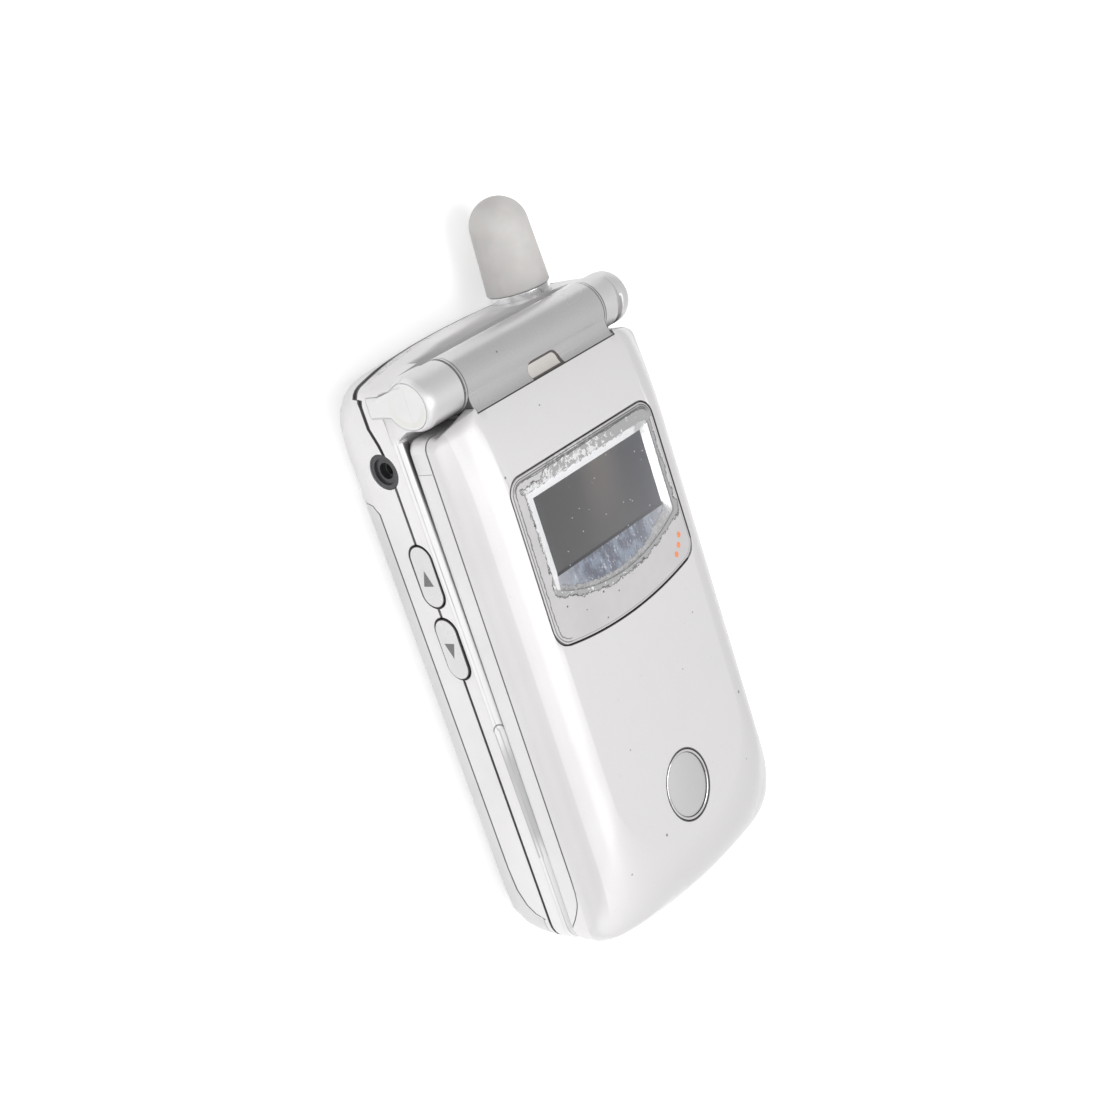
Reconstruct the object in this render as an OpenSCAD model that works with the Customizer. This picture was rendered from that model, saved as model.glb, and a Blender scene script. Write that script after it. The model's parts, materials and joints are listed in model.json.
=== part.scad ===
// Clamshell mobile phone with a stub antenna. The base carries the keypad, battery and antenna,
// the flip carries an outer and an inner display, and a barrel hinge joins them.
// Millimetres. X is the width, Y runs from the bottom end to the antenna and Z is the thickness.
// The phone lies on its back with the flip closed.

/* [Body] */
// Length of the base, from its bottom end to its top end
body_l = 92.5; // [90:0.5:96]
// Width of the base at its top end
body_w = 48.4; // [47.8:0.2:51]
// Amount that each side draws in towards the bottom end
side_taper = 1; // [0.6:0.1:1.3]
// Height of the rim of the base
base_h = 14.2; // [14:0.1:15]
// Height of the seam between the rear and front housings
seam_h = 10.5; // [10.4:0.05:10.8]
// Radius of the arc across the bottom end
bottom_bow = 96; // [80:2:120]
// Radius of the arc across the top end
top_bow = 222; // [190:2:300]
// Radius of the bottom corners
bottom_corner = 3.8; // [3.4:0.2:5]
// Radius of the top corners
top_corner = 1.8; // [1.2:0.1:2.4]
// Radius of the long edges of the back
back_edge = 5; // [4:0.1:5.4]
// Length of the curve from the back up to the bottom end
heel_l = 9; // [7:0.5:10]
// Wall of the housings
wall = 1.2; // [1:0.05:1.3]

// Depth to which the front housing's end wall dips below the seam at the top corners
dip = 2.2; // [1.8:0.1:2.4]
// Further dip of that wall in its middle
crown_dip = 4.8; // [3:0.1:5]
// Growth of the rear housing's top corners for each millimetre below the seam
crown_round = 0.9; // [0.5:0.05:1]

/* [Battery] */
// Height along Y of the upper edge of the battery door
door_top = 74.8; // [74:0.1:75.6]
// Height of the door's side edge near its upper end
door_edge = 5.3; // [4.8:0.1:5.6]
// Travel of the door before it lifts off
door_travel = 8; // [5:0.5:10]
// Width of the battery pack
battery_w = 35; // [30:1:36]
// Length of the battery pack
battery_l = 57; // [50:1:58]
// Thickness of the battery pack
battery_t = 4.8; // [4:0.1:4.8]
// Height of the battery bay's floor above the back
bay_floor = 7.1; // [7:0.05:7.15]

/* [Flip] */
// Width of the flip
flip_w = 46.6; // [46:0.1:47.2]
// Thickness of the whole phone with the flip closed
closed_h = 23.95; // [23.6:0.05:24.6]
// Height of the flip's inner housing
strip_h = 3.5; // [3.4:0.05:3.7]
// Gap between the base's rim and the flip
flip_gap = 0.3; // [0.2:0.05:0.4]
// Height along Y of the flip's edge beside the hinge
flip_top = 83.4; // [83:0.1:83.6]
// Wall of the flip's cover
cover_wall = 1.1; // [0.9:0.05:1.2]

/* [Hinge] */
// Distance of the hinge axis from the base's top end
hinge_inset = 4.1; // [3.9:0.05:4.3]
// Height of the hinge axis
hinge_z = 17.33; // [17.2:0.01:17.6]
// Outer radius of the barrel
barrel_r = 4.15; // [4.1:0.01:4.25]
// Outer radius of the base's hinge ears
ear_r = 4.05; // [4:0.01:4.12]
// Half length of the barrel
barrel_half = 15.8; // [15.2:0.1:16]
// Half width across the end of the left ear
ear_half = 23.1; // [22.9:0.05:23.3]
// Amount that the right ear ends short of the left one
ear_short = 0.9; // [0:0.1:1.2]
// Gap between the barrel and each ear
ear_gap = 0.3; // [0.2:0.05:0.4]
// Radius of the bore through the barrel
barrel_bore = 3.2; // [3.1:0.01:3.25]
// Radial running clearance in the hinge
run_fit = 0.05; // [0.02:0.01:0.08]
// Angle to which the flip opens
flip_open = 150; // [140:1:152]

/* [Displays] */
// Half width of the outer lens at the bottom end of the body's frame
lens_half = 16.7; // [16:0.1:17]
// Lower edge of the outer lens
lens_low = 46.6; // [44:0.2:48]
// Upper edge of the outer lens
lens_high = 74; // [73.4:0.1:74.4]
// Visible width of the outer display
outer_w = 25.2; // [22:0.2:26]
// Visible height of the outer display
outer_h = 11.6; // [10:0.2:12.4]
// Centre height of the outer display
outer_view_y = 64; // [63:0.1:65]
// Offset of the outer display across the flip
outer_view_x = 0.5; // [-0.8:0.1:0.8]
// Visible width of the inner display
inner_w = 31; // [28:0.5:33]
// Visible height of the inner display
inner_h = 39; // [34:0.5:40]
// Centre height of the inner display
inner_view_y = 48; // [46:0.5:49]

/* [Keys] */
// Width of a number key
key_w = 11.4; // [9:0.2:11.8]
// Height of a number key
key_h = 6.2; // [5:0.2:6.6]
// Pitch of the number keys across the body
pitch_x = 13.2; // [13:0.1:13.4]
// Pitch of the number keys along the body
pitch_y = 8.5; // [7.8:0.1:8.6]
// Height along Y of the lowest row of number keys
key_row = 12.6; // [12:0.1:13]
// Travel of a key on the keypad
key_travel = 0.4; // [0.2:0.05:0.45]
// Gap round a key in its opening
key_gap = 0.15; // [0.1:0.05:0.25]
// Radius of the navigation key
nav_r = 8; // [7:0.1:8.5]
// Length of a volume key
side_key_l = 9.5; // [8:0.1:9.8]
// Width of a volume key
side_key_w = 4.1; // [3.6:0.1:4.2]
// Height along Y of the volume down key's centre
volume_down_y = 52; // [51:0.1:52.2]
// Height along Y of the volume up key's centre
volume_up_y = 63.4; // [63.2:0.1:64.4]
// Amount that a side key stands proud of the housing
side_key_proud = 0.45; // [0.3:0.05:0.6]

/* [Headset socket] */
// Radius of the socket's bore
jack_r = 1.25; // [1.2:0.01:1.3]
// Length of the socket's bore
jack_l = 10.5; // [9:0.1:11]
// Height along Y of the socket's axis
jack_y = 79.54; // [79.3:0.01:79.8]
// Height of the socket's axis
jack_z = 9.3; // [9.2:0.01:9.45]
// Radius of the socket's face
jack_face_r = 2.6; // [2.3:0.05:2.65]

/* [Antenna] */
// Length of the antenna beyond the base
antenna_l = 15; // [12:0.5:18]
// Offset of the antenna across the body
antenna_x = 13.9; // [13:0.1:14.5]
// Height of the antenna's axis
antenna_z = 7.6; // [7.5:0.05:7.65]
// Radius of the antenna's cap at its foot
antenna_foot_r = 4.9; // [4.7:0.05:5]
// Radius of the antenna's cap at its shoulder
antenna_top_r = 4.5; // [4.2:0.05:4.6]
// Radius of the bright collar
collar_r = 4.7; // [4.5:0.05:4.8]

/* [Hidden] */
$fn = 48;
thin = 0.06;
over = 1;
hinge_y = body_l - hinge_inset;
base_foot = body_w / 2 - side_taper;
base_slope = side_taper / body_l;
heel_h = seam_h - 1;
deck_h = base_h - 0.8;
ceiling_h = deck_h - 1.3;
rim_w = 1.9;
trough_h = hinge_z - barrel_r - 0.33;
flip_h = base_h + flip_gap;
cover_h = flip_h + strip_h;
cover_seam = 0.06;
floor_t = 0.8;
bay_top = bay_floor + floor_t;
board_h = 9.2;
board_t = 1;
board_top = board_h + board_t;
dome_t = 0.2;
dome_top = board_top + thin + dome_t;
tray_inset = wall + 0.6;
tray_end = 14.6;
inner_floor = flip_h + 1.1;
flip_board_h = cover_h + 0.3;
shell_top = closed_h - cover_wall;
overall_l = body_l + antenna_l;
volume_y = [volume_down_y, volume_up_y];
jack_at = [jack_y, jack_z];
outer_view = [outer_w, outer_h];
inner_view = [inner_w, inner_h];
key_size = [key_w, key_h];
screw_at = [[base_side(7) - 5.676, 7], [base_side(71.5) - 4.173, 71.5]];
flip_screw_x = min(flip_w / 2, base_side(8) + 0.02) - 4.7;
flip_screw_at = [[flip_screw_x, 8], [flip_screw_x, flip_top - 4.4]];
lug_x = 10.5;
lip_half = barrel_half - 0.4;
lip_y = flip_top + 0.8;
lip_h = hinge_z + barrel_r + 0.52;
ear_start = barrel_half + ear_gap;
flex_end = ear_half - ear_short - 1.7;
flex_x = (ear_start + flex_end) / 2 - 0.1;
digits = [for (i = [0:11]) i];
DIGIT_NAMES = ["key_1", "key_2", "key_3", "key_4", "key_5", "key_6",
               "key_7", "key_8", "key_9", "key_star", "key_0", "key_hash"];

// ---- Outlines and lofts ----

// Half width of the base's side at a height along Y
function base_side(y) = base_foot + base_slope * y;

// Points on an arc
function arc(cx, cy, r, from, to, steps) =
    [for (i = [0:steps])
        let(t = from + (to - from) * i / steps)
        [cx + r * cos(t), cy + r * sin(t)]];

function tail(list) = [for (i = [1:len(list) - 1]) list[i]];

// Height of the centre of a corner of radius r that touches the side line s + k * y and the
// end arc of radius R about (0, c); end is -1 for the bottom end and 1 for the top end
function corner_y(s, k, c, R, r, end) =
    let(q = 1 + k * k,
        a = s - r * sqrt(q),
        h = a * k - c,
        m = a * a + c * c - (R - r) * (R - r))
    (-h + end * sqrt(h * h - q * m)) / q;

// Right half of a housing outline from the bottom centre to the top centre. An outline is
// [side at y = 0, side slope, bottom, bottom radius, corner, top, top radius, corner]
function half_outline(o) =
    let(s = o[0], k = o[1],
        low = o[2] + o[3],
        high = o[5] - o[6],
        lean = sqrt(1 + k * k),
        by = corner_y(s, k, low, o[3], o[4], -1),
        bx = s - o[4] * lean + k * by,
        ty = corner_y(s, k, high, o[6], o[7], 1),
        tx = s - o[7] * lean + k * ty,
        ba = atan2(by - low, bx),
        ta = atan2(ty - high, tx),
        side = -atan(k))
    concat(arc(0, low, o[3], -90, ba, 3),
           tail(arc(bx, by, o[4], ba, side, 6)),
           [for (f = [0.5, 0.84, 0.92])
               let(y = by * (1 - f) + ty * f)
               [s + k * y, y]],
           arc(tx, ty, o[7], side, ta, 5),
           tail(arc(0, high, o[6], ta, 90, 3)));

function outline(o) =
    let(half = half_outline(o))
    concat(half, [for (i = [len(half) - 2:-1:1]) [-half[i][0], half[i][1]]]);

// Outline of the base, drawn in from its sides, bottom end and top end
function base_out(side = 0, bottom = 0, top = 0, corner = undef, upper = undef) =
    [base_foot - side, base_slope,
     bottom, bottom_bow - bottom,
     is_undef(corner) ? max(bottom_corner - side, 2.5) : corner,
     body_l - top, top_bow - top, is_undef(upper) ? max(top_corner - side, 0.6) : upper];

// Outline of the flip, drawn in from its sides and bottom end, with its own upper edge
function flip_out(side = 0, top = flip_top) =
    [flip_w / 2 - side, 0,
     side, bottom_bow - side, max(bottom_corner - side, 2.5),
     top, 3000, max(1.8 - side, 0.6)];

// Outline of the outer lens and what it seats in
function lens_out(in = 0) =
    [lens_half + 0.01 * lens_low - in, -0.01, lens_low + in, 66 - in, 1.8 - min(in, 1),
     lens_high - in, 3000, 1.8 - min(in, 1)];

// A closed solid through outlines; each level is [outline, height]
module loft(levels) {
    skin([for (l = levels) [for (p = outline(l[0])) [p[0], p[1], l[1]]]]);
}

// A closed solid through rings of as many points each
module skin(rings) {
    n = len(rings[0]);
    last = len(rings) - 1;
    points = [for (r = rings) each r];
    sides = [for (j = [0:last - 1], i = [0:n - 1])
        let(a = j * n + i, b = j * n + (i + 1) % n)
        each [[a, a + n, b + n], [a, b + n, b]]];
    polyhedron(points, concat([[for (i = [0:n - 1]) i]], sides,
                              [[for (i = [n - 1:-1:0]) last * n + i]]));
}

module plate(o, from, to) {
    translate([0, 0, from])
        linear_extrude(to - from)
            polygon(outline(o));
}

// 2D children drawn as (y, z) and run from one x to another
module along_x(from, to) {
    translate([from, 0, 0])
        rotate([90, 0, 90])
            linear_extrude(to - from)
                children();
}

// 2D children drawn as (x, z) and run from one y to another
module along_y(from, to) {
    translate([0, to, 0])
        rotate([90, 0, 0])
            linear_extrude(to - from)
                children();
}

// Children turned about the hinge axis, starting at x and running outwards
module on_hinge(x) {
    translate([x, hinge_y, hinge_z])
        rotate([0, 90, 0])
            children();
}

// Children turned about the antenna's axis, starting at y
module on_antenna(y) {
    translate([antenna_x, y, antenna_z])
        rotate([-90, 0, 0])
            children();
}

module box(low, high) {
    translate(low)
        cube(high - low);
}

module pill(l, w) {
    square([l - w, w], center = true);
    for (s = [-1, 1])
        translate([s * (l - w) / 2, 0])
            circle(d = w);
}

module rounded(size, r) {
    square([size[0] - 2 * r, size[1]], center = true);
    square([size[0], size[1] - 2 * r], center = true);
    for (x = [-1, 1], y = [-1, 1])
        translate([x * (size[0] / 2 - r), y * (size[1] / 2 - r)])
            circle(r);
}

module both_sides() {
    children();
    mirror([1, 0, 0])
        children();
}

module placed() {
    translate([0, -overall_l / 2, 0])
        children();
}

// ---- Base: rear housing and battery ----

// How far the long edge's rounding draws the side in at a height
function edge_in(z) =
    z >= back_edge ? 0 : back_edge - sqrt(back_edge * back_edge - pow(back_edge - z, 2));

// How far the heel's curve draws the bottom end in at a height
function heel_in(z) =
    z >= heel_h ? 0 : heel_l * (1 - sqrt(1 - pow(1 - z / heel_h, 2)));

// How much more the top corners are rounded at a height
function crown_r(z) = crown_round * max(0, seam_h - dip - z);

function back_level(z, in = 0) =
    [base_out(edge_in(z) + in, heel_in(z) + in, 0.8 * edge_in(z) + in,
              max(bottom_corner - in, 2.5) + 0.3 * edge_in(z),
              max(top_corner - in, 0.6) + crown_r(z)), z];

back_rise = [0, 0.08, 0.3, 0.6, 1];

module back_shell() {
    outer = [for (f = back_rise) back_level(f * back_edge)];
    inner = [for (z = [seam_h, heel_h, 7, back_edge, 3, wall]) back_level(z, wall)];
    loft(concat(outer, [back_level(7.2), back_level(heel_h), back_level(seam_h)], inner));
}

module back_solid(in, from, to) {
    loft([for (i = [0:4]) back_level(from + (to - from) * i / 4, in)]);
}

// Side view of the door, grown by a gap for the housing that it meets
module door_profile(gap) {
    polygon([[-over, -over], [door_top + gap, -over], [door_top + gap, 3 + gap],
             [door_top - 0.4 + gap, 4.4 + gap], [door_top - 1.6, door_edge + gap],
             [44, door_edge + 0.1 + gap], [15, door_edge + 0.2 + gap],
             [11.2 + gap, door_edge + 0.5 + gap], [8.6 + gap, door_edge + 1.5 + gap],
             [7.2 + gap, door_edge + 2.8 + gap], [6.6 + gap, heel_h - 0.2 + gap],
             [-over, heel_h - 0.2 + gap]]);
}

module side_key_opening(y, side, gap) {
    x = side * (body_w / 2 + over);
    along_x(min(x, side * 19), max(x, side * 19))
        translate([y, seam_h])
            pill(side_key_l + 2 * gap, side_key_w + 2 * gap);
}

module side_openings() {
    for (y = volume_y)
        side_key_opening(y, -1, key_gap);
    side_key_opening((volume_y[0] + volume_y[1]) / 2, 1, key_gap);
    translate([-body_w / 2 - over, jack_at[0], jack_at[1]])
        rotate([0, 90, 0])
            cylinder(r = jack_face_r + 0.1, h = 6);
    on_antenna(body_l - over)
        cylinder(r = collar_r + 0.08, h = 4);
    on_antenna(body_l - 5)
        cylinder(r = 2.85, h = 5);
}

// Side view of the part of the front housing that dips below the seam at the top end
module seam_dip(gap) {
    polygon([[81.5 + gap, seam_h + over], [81.5 + gap, seam_h], [83.5 + gap, seam_h - 0.4],
             [86 + gap, seam_h - 1.25 + gap], [dip_y - 0.1 + gap, seam_h - 1.25 + gap],
             [dip_y + gap, seam_h - dip + gap], [body_l + over, seam_h - dip + gap],
             [body_l + over, seam_h + over]]);
}

dip_y = body_l - 2.2;

// The end wall's seam in end view, and all that the front housing takes up at the top end
module top_end_part(gap) {
    span = body_w / 2;
    along_x(-30, 30)
        seam_dip(gap);
    along_y(dip_y + gap, body_l + over)
        polygon(concat([for (k = [-10:10])
                           [k / 10 * span,
                            seam_h - dip - crown_dip * (1 - k * k / 100) + gap]],
                       [[30, seam_h - dip + gap], [30, seam_h + over],
                        [-30, seam_h + over], [-30, seam_h - dip + gap]]));
}

// Thin tray under the board's lower end, clear of the door
module bay_tray() {
    difference() {
        intersection() {
            union() {
                plate(base_out(tray_inset, tray_inset), bay_floor, heel_h + 0.65);
                plate(base_out(0.6, 0.6), heel_h + 0.05, heel_h + 0.65);
            }
            box([-30, -over, 0], [30, tray_end + 0.4, 20]);
        }
        plate(base_out(tray_inset + 0.8, tray_inset + 0.8), bay_top, 20);
    }
}

module rear_housing() {
    color("#d9dadc")
    placed()
    difference() {
        union() {
            difference() {
                back_shell();
                along_x(-30, 30)
                    door_profile(0.1);
            }
            intersection() {
                back_solid(0.4, bay_floor - 0.1, seam_h);
                box([-30, tray_end, bay_floor], [30, door_top + 0.9, bay_top]);
            }
            intersection() {
                back_solid(0.4, 0.5, seam_h);
                box([-30, door_top + 0.1, 0.6], [30, door_top + 0.9, bay_top]);
            }
            bay_tray();
        }
        side_openings();
        top_end_part(0);
        for (p = screw_at)
            both_sides() {
                translate([p[0], p[1], bay_floor - 0.2])
                    cylinder(r = 1, h = 2);
                translate([p[0], p[1], bay_top + 0.08])
                    cylinder(r = 2.05, h = 4);
            }
        box([-5.2, door_top + 1, -over], [5.2, door_top + 5.5, wall + 0.1]);
        box([-2.2, door_top, wall + 0.05], [2.2, door_top + over, 2.4]);
        for (i = [-1, 0, 1])
            translate([speaker_at[0], speaker_at[1] + 2.4 * i, -over])
                linear_extrude(wall + 2 * over)
                    pill(speaker_r + 1.6, 1);
    }
}

module battery_door() {
    color("#cfd0d3")
    placed()
    intersection() {
        back_shell();
        along_x(-30, 30)
            door_profile(0);
    }
}

module battery_latch() {
    color("#c4c5c8")
    placed() {
        box([-5, door_top + 1.2, 0.1], [5, door_top + 4, wall + 0.15]);
        box([-6, door_top + 1.1, wall + 0.15], [6, door_top + 4.4, wall + 0.7]);
        box([-2, door_top - 0.7, wall + 0.15], [2, door_top + 1.2, wall + 0.7]);
        for (i = [0:2])
            box([-4, door_top + 1.7 + 0.8 * i, 0.02], [4, door_top + 2 + 0.8 * i, 0.1]);
    }
}

battery_y = [9, 9 + battery_l];

module battery_pack() {
    color("#3b3d42")
    placed()
    difference() {
        translate([0, (battery_y[0] + battery_y[1]) / 2, wall + 0.1])
            linear_extrude(battery_t)
                rounded([battery_w, battery_l], 2);
        for (i = [-1.5:1.5])
            translate([3 * i, battery_y[1], wall + battery_t])
                cube([1.8, 1, 1.8], center = true);
    }
}

module battery_contacts() {
    color("#26272a")
    placed()
    difference() {
        box([-6.5, battery_y[1] + 0.3, 3.5], [6.5, battery_y[1] + 4, bay_floor - thin]);
        for (i = [-1.5:1.5])
            translate([3 * i, battery_y[1] + 0.3, 5])
                cube([1.6, 1.2, 2.4], center = true);
    }
}

module sim_holder() {
    color("#b9bcc2")
    placed()
    difference() {
        box([3.5 - battery_w / 2, battery_y[1] - 22, wall + battery_t + 0.2],
            [battery_w / 2 - 4.5, battery_y[1] - 4, bay_floor - thin]);
        box([4.3 - battery_w / 2, battery_y[1] - 23, wall + battery_t + 0.1],
            [battery_w / 2 - 5.3, battery_y[1] - 6, bay_floor - 0.4]);
    }
}

module housing_screws() {
    color("#8d9096")
    placed()
    for (p = screw_at)
        both_sides()
            translate([p[0], p[1], bay_floor - 1.05])
                difference() {
                    union() {
                        cylinder(r = 1.5, h = 1);
                        cylinder(r = 0.8, h = 5);
                    }
                    translate([0, 0, -0.1])
                        cylinder(r = 0.7, h = 0.6, $fn = 6);
                }
}

// ---- Base: front housing with the hinge ears ----

module rim() {
    edge = base_h - 1.2;
    loft([[base_out(wall, wall, wall), ceiling_h],
          [base_out(wall, wall, wall), seam_h],
          [base_out(), seam_h],
          [base_out(), edge],
          [base_out(0.3, 0.3, 0.3), edge + 0.7],
          [base_out(0.95, 0.95, 0.95), base_h],
          [base_out(rim_w, rim_w, rim_w), base_h],
          [base_out(rim_w + 0.1, rim_w + 0.1, rim_w + 0.1), deck_h]]);
}

// Side view of the web that carries an ear, with the radius that it takes up at the axis
module ear_web(r) {
    polygon([[flip_top - 1.2, ceiling_h + 0.3], [flip_top - 1, base_h - 1.1],
             [flip_top + 0.1, base_h - 0.4], [flip_top + 0.9, base_h + 0.5],
             [hinge_y - r - 0.1, hinge_z - 1.6], [hinge_y - r, hinge_z],
             [hinge_y + r, hinge_z], [hinge_y + r - 0.3, hinge_z - 2],
             [body_l - 0.9, ceiling_h + 0.6], [body_l - 0.9, seam_h + 0.05],
             [hinge_y - r, seam_h + 0.05]]);
}

// Turned end of an ear, which closes with a rounded shoulder round a flat face
module ear_knuckle(end) {
    start = ear_start;
    shoulder = end - 1.8;
    face = 3.36;
    on_hinge(0)
        rotate_extrude($fn = 64)
            polygon(concat([[0, start], [ear_r, start]],
                           [for (t = [0:15:90])
                               [face + (ear_r - face) * cos(t),
                                shoulder + (end - shoulder) * sin(t)]],
                           [[0, end]]));
}

// One ear, on the right-hand side
module ear(end) {
    start = ear_start;
    side = max(base_side(hinge_y) - 0.02, end + 0.3);
    ear_knuckle(end);
    intersection() {
        union() {
            along_x(start, end - 1.8)
                ear_web(ear_r);
            along_x(start, end - 0.8)
                ear_web(ear_r - 0.2);
            along_x(start, 30)
                ear_web(3.4);
        }
        along_y(0, 120)
            polygon([[start, 9], [side, 9], [side, ceiling_h + 0.4], [end + 0.02, hinge_z],
                     [start, hinge_z]]);
        plate(base_out(base_side(hinge_y) - side - 0.01, 0, 0), seam_h, 30);
    }
}

groove_x = ear_half - ear_short - 3.3;

// Crescent groove round the right ear
module ear_groove() {
    intersection() {
        difference() {
            on_hinge(groove_x)
                cylinder(r = 5, h = 0.8);
            translate([0, 0.42, -0.42])
                on_hinge(groove_x - 0.9)
                    cylinder(r = 3.95, h = 3);
        }
        box([groove_x - 0.9, hinge_y - 6, hinge_z - 1.4], [groove_x + 2.1, hinge_y + 6, 30]);
    }
}

// Keyhole outline of an ear cap in side view
module ear_cap_profile(gap) {
    waist = 1.45 + gap;
    mid = hinge_y + 0.55;
    translate([hinge_y, hinge_z])
        circle(3.36 + gap);
    polygon([[mid - waist, seam_h + 0.1 - gap], [mid + waist, seam_h + 0.1 - gap],
             [mid + waist, 13], [mid + waist + 0.4, 14.8], [mid + 2.7, hinge_z],
             [mid - 3.4, hinge_z], [mid - waist - 1.1, 15.3], [mid - waist - 0.2, 14]]);
}

cap_depth = 0.7;

module ear_cap(end) {
    intersection() {
        ear(end);
        along_x(end - cap_depth, 30)
            ear_cap_profile(0);
    }
}

// Wall of the front housing that dips below the seam at the top end
module top_end_wall() {
    intersection() {
        union() {
            back_shell();
            difference() {
                plate(base_out(), seam_h - 0.5, seam_h + 0.1);
                plate(base_out(wall, wall, wall), seam_h - over, seam_h + over);
            }
        }
        top_end_part(0.06);
    }
}

module key_openings() {
    for (i = digits)
        translate(concat(digit_at(i), [ceiling_h - over]))
            linear_extrude(3)
                rounded(key_size + [2, 2] * key_gap, 1.2);
    translate([0, nav_y, ceiling_h - over])
        cylinder(r = nav_r + key_gap, h = 3);
    for (k = [-1, 1]) {
        translate([k * soft_at[0], soft_at[1], ceiling_h - over])
            linear_extrude(3)
                rounded(soft_size + [2, 2] * key_gap, 1.2);
        translate([k * call_at[0], call_at[1], ceiling_h - over])
            linear_extrude(3)
                rounded(call_size + [2, 2] * key_gap, 1.5);
    }
}

// Scoops in the rim that let a thumb lift the flip
module thumb_notches() {
    both_sides()
        translate([base_side(28) + 0.75, 17.6, base_h + 0.55])
            rotate([-90, 0, 0]) {
                cylinder(r = 1.7, h = 20.7);
                sphere(1.7);
                translate([0, 0, 20.7])
                    sphere(1.7);
            }
}

module front_housing() {
    color("#d9dadc")
    placed()
    difference() {
        union() {
            difference() {
                union() {
                    difference() {
                        rim();
                        box([-30, flip_top, trough_h], [30, 120, 30]);
                    }
                    top_end_wall();
                    ear(ear_half - ear_short);
                    mirror([1, 0, 0])
                        ear(ear_half);
                }
                along_x(ear_half - ear_short - cap_depth - thin, 30)
                    ear_cap_profile(thin);
                along_x(-30, -ear_half + cap_depth + thin)
                    ear_cap_profile(thin);
                ear_groove();
            }
            for (p = screw_at)
                both_sides()
                    translate([p[0], p[1], bay_top + 0.15])
                        cylinder(r = 1.9, h = ceiling_h - bay_top + 0.1);
        }
        for (p = screw_at)
            both_sides()
                translate([p[0], p[1], bay_top - over])
                    cylinder(r = 0.85, h = 5);
        on_hinge(barrel_half)
            cylinder(r = barrel_bore - 0.03, h = bushing_end - barrel_half);
        translate([flex_x, hinge_y, seam_h - over])
            cylinder(r = 1.3, h = hinge_z - seam_h);
        intersection() {
            on_hinge(-ear_half + 1.5)
                cylinder(r = cam_r, h = ear_half - barrel_half);
            on_hinge(-ear_half)
                translate([-cam_r * 0.78, -cam_r, 0])
                    cube([cam_r * 1.56, 2 * cam_r, 20]);
        }
        side_openings();
        key_openings();
        thumb_notches();
        translate([mic_at[0], mic_at[1], ceiling_h - over])
            cylinder(r = 0.5, h = 4);
        box([-6.4, -over, seam_h - over], [6.4, 3, seam_h + 1.4]);
    }
}

module ear_cap_left() {
    color("#e4e5e6")
    placed()
    mirror([1, 0, 0])
        ear_cap(ear_half);
}

module ear_cap_right() {
    color("#e4e5e6")
    placed()
        ear_cap(ear_half - ear_short);
}

// ---- Hinge parts that stay with the base ----

bushing_end = ear_half - ear_short - 1.2;
cam_r = 2.2;
pin_r = 1.45;

module hinge_bushing() {
    color("#b8bbc0")
    placed()
        on_hinge(12)
            difference() {
                cylinder(r = barrel_bore - run_fit, h = bushing_end - 12 - 0.1);
                translate([0, 0, -over])
                    cylinder(r = 2.35, h = 20);
            }
}

module hinge_cam_shaft() {
    color("#9ea2a8")
    placed() {
        intersection() {
            on_hinge(-ear_half + 1.6)
                cylinder(r = cam_r - 0.03, h = ear_half - barrel_half - 1.65);
            on_hinge(-ear_half)
                translate([-cam_r * 0.77, -cam_r, 0])
                    cube([cam_r * 1.54, 2 * cam_r, 20]);
        }
        on_hinge(-barrel_half - 0.2)
            cylinder(r = pin_r, h = 8);
    }
}

// ---- Base: electronics ----

speaker_at = [11.7 - body_w / 2, body_l - 10.7];
speaker_r = 4.4;
mic_at = [10, 5.6];

module main_board() {
    color("#2f6b4f")
    placed()
    difference() {
        union() {
            plate(base_out(5.6, 3.4, 3.4), board_h, board_top);
            for (y = volume_y)
                box([4.1 - base_side(y), y - 2, board_h],
                    [7.9 - base_side(y), y + 2, board_top + 0.7]);
            mid = (volume_y[0] + volume_y[1]) / 2;
            box([base_side(mid) - 7.9, mid - 2, board_h],
                [base_side(mid) - 4.1, mid + 2, board_top + 0.7]);
        }
        box([-30, jack_at[0] - 3.4, 0],
            [jack_l + 0.95 - base_side(jack_at[0]), jack_at[0] + 3.4, 20]);
        box([antenna_x - 4, body_l - 9.5, 0], [antenna_x + 4, body_l, 20]);
        for (p = screw_at)
            both_sides()
                translate([p[0], p[1], board_h - over])
                    cylinder(r = 2.15, h = 4);
    }
}

can_half = screw_at[1][0] - 3.3;

module shield_can() {
    color("#c9ccd1")
    placed()
    difference() {
        box([-can_half, key_row + 9.4, bay_top + 0.2], [can_half, door_top - 2.8, board_h - thin]);
        box([0.3 - can_half, key_row + 9.7, bay_top + 0.4],
            [can_half - 0.3, door_top - 3.1, board_h + over]);
    }
}

module keypad_domes() {
    color("#d8d2b8")
    placed()
        box([-pitch_x - 1.8, key_row - 3.2, board_top + thin],
            [pitch_x + 1.8, nav_y + nav_r + 3.5, dome_top]);
}

module microphone() {
    color("#3a3a3d")
    placed()
    difference() {
        translate([mic_at[0], mic_at[1], board_top + thin])
            cylinder(r = 2.4, h = ceiling_h - board_top - 0.2);
        translate([mic_at[0], mic_at[1], ceiling_h - 0.8])
            cylinder(r = 0.5, h = 2);
    }
}

module accessory_connector() {
    color("#1f2023")
    placed()
    difference() {
        box([-7, wall + 0.5, board_top + thin], [7, 6.3, ceiling_h - 0.1]);
        box([-6, 0, board_top + 0.5], [6, 4.8, ceiling_h - 0.4]);
    }
}

module loudspeaker() {
    color("#3d3f43")
    placed()
    difference() {
        translate([speaker_at[0], speaker_at[1], wall + 0.15])
            cylinder(r = speaker_r, h = 3);
        translate([speaker_at[0], speaker_at[1], wall])
            cylinder(r = speaker_r - 0.9, h = 0.5);
    }
}

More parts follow.
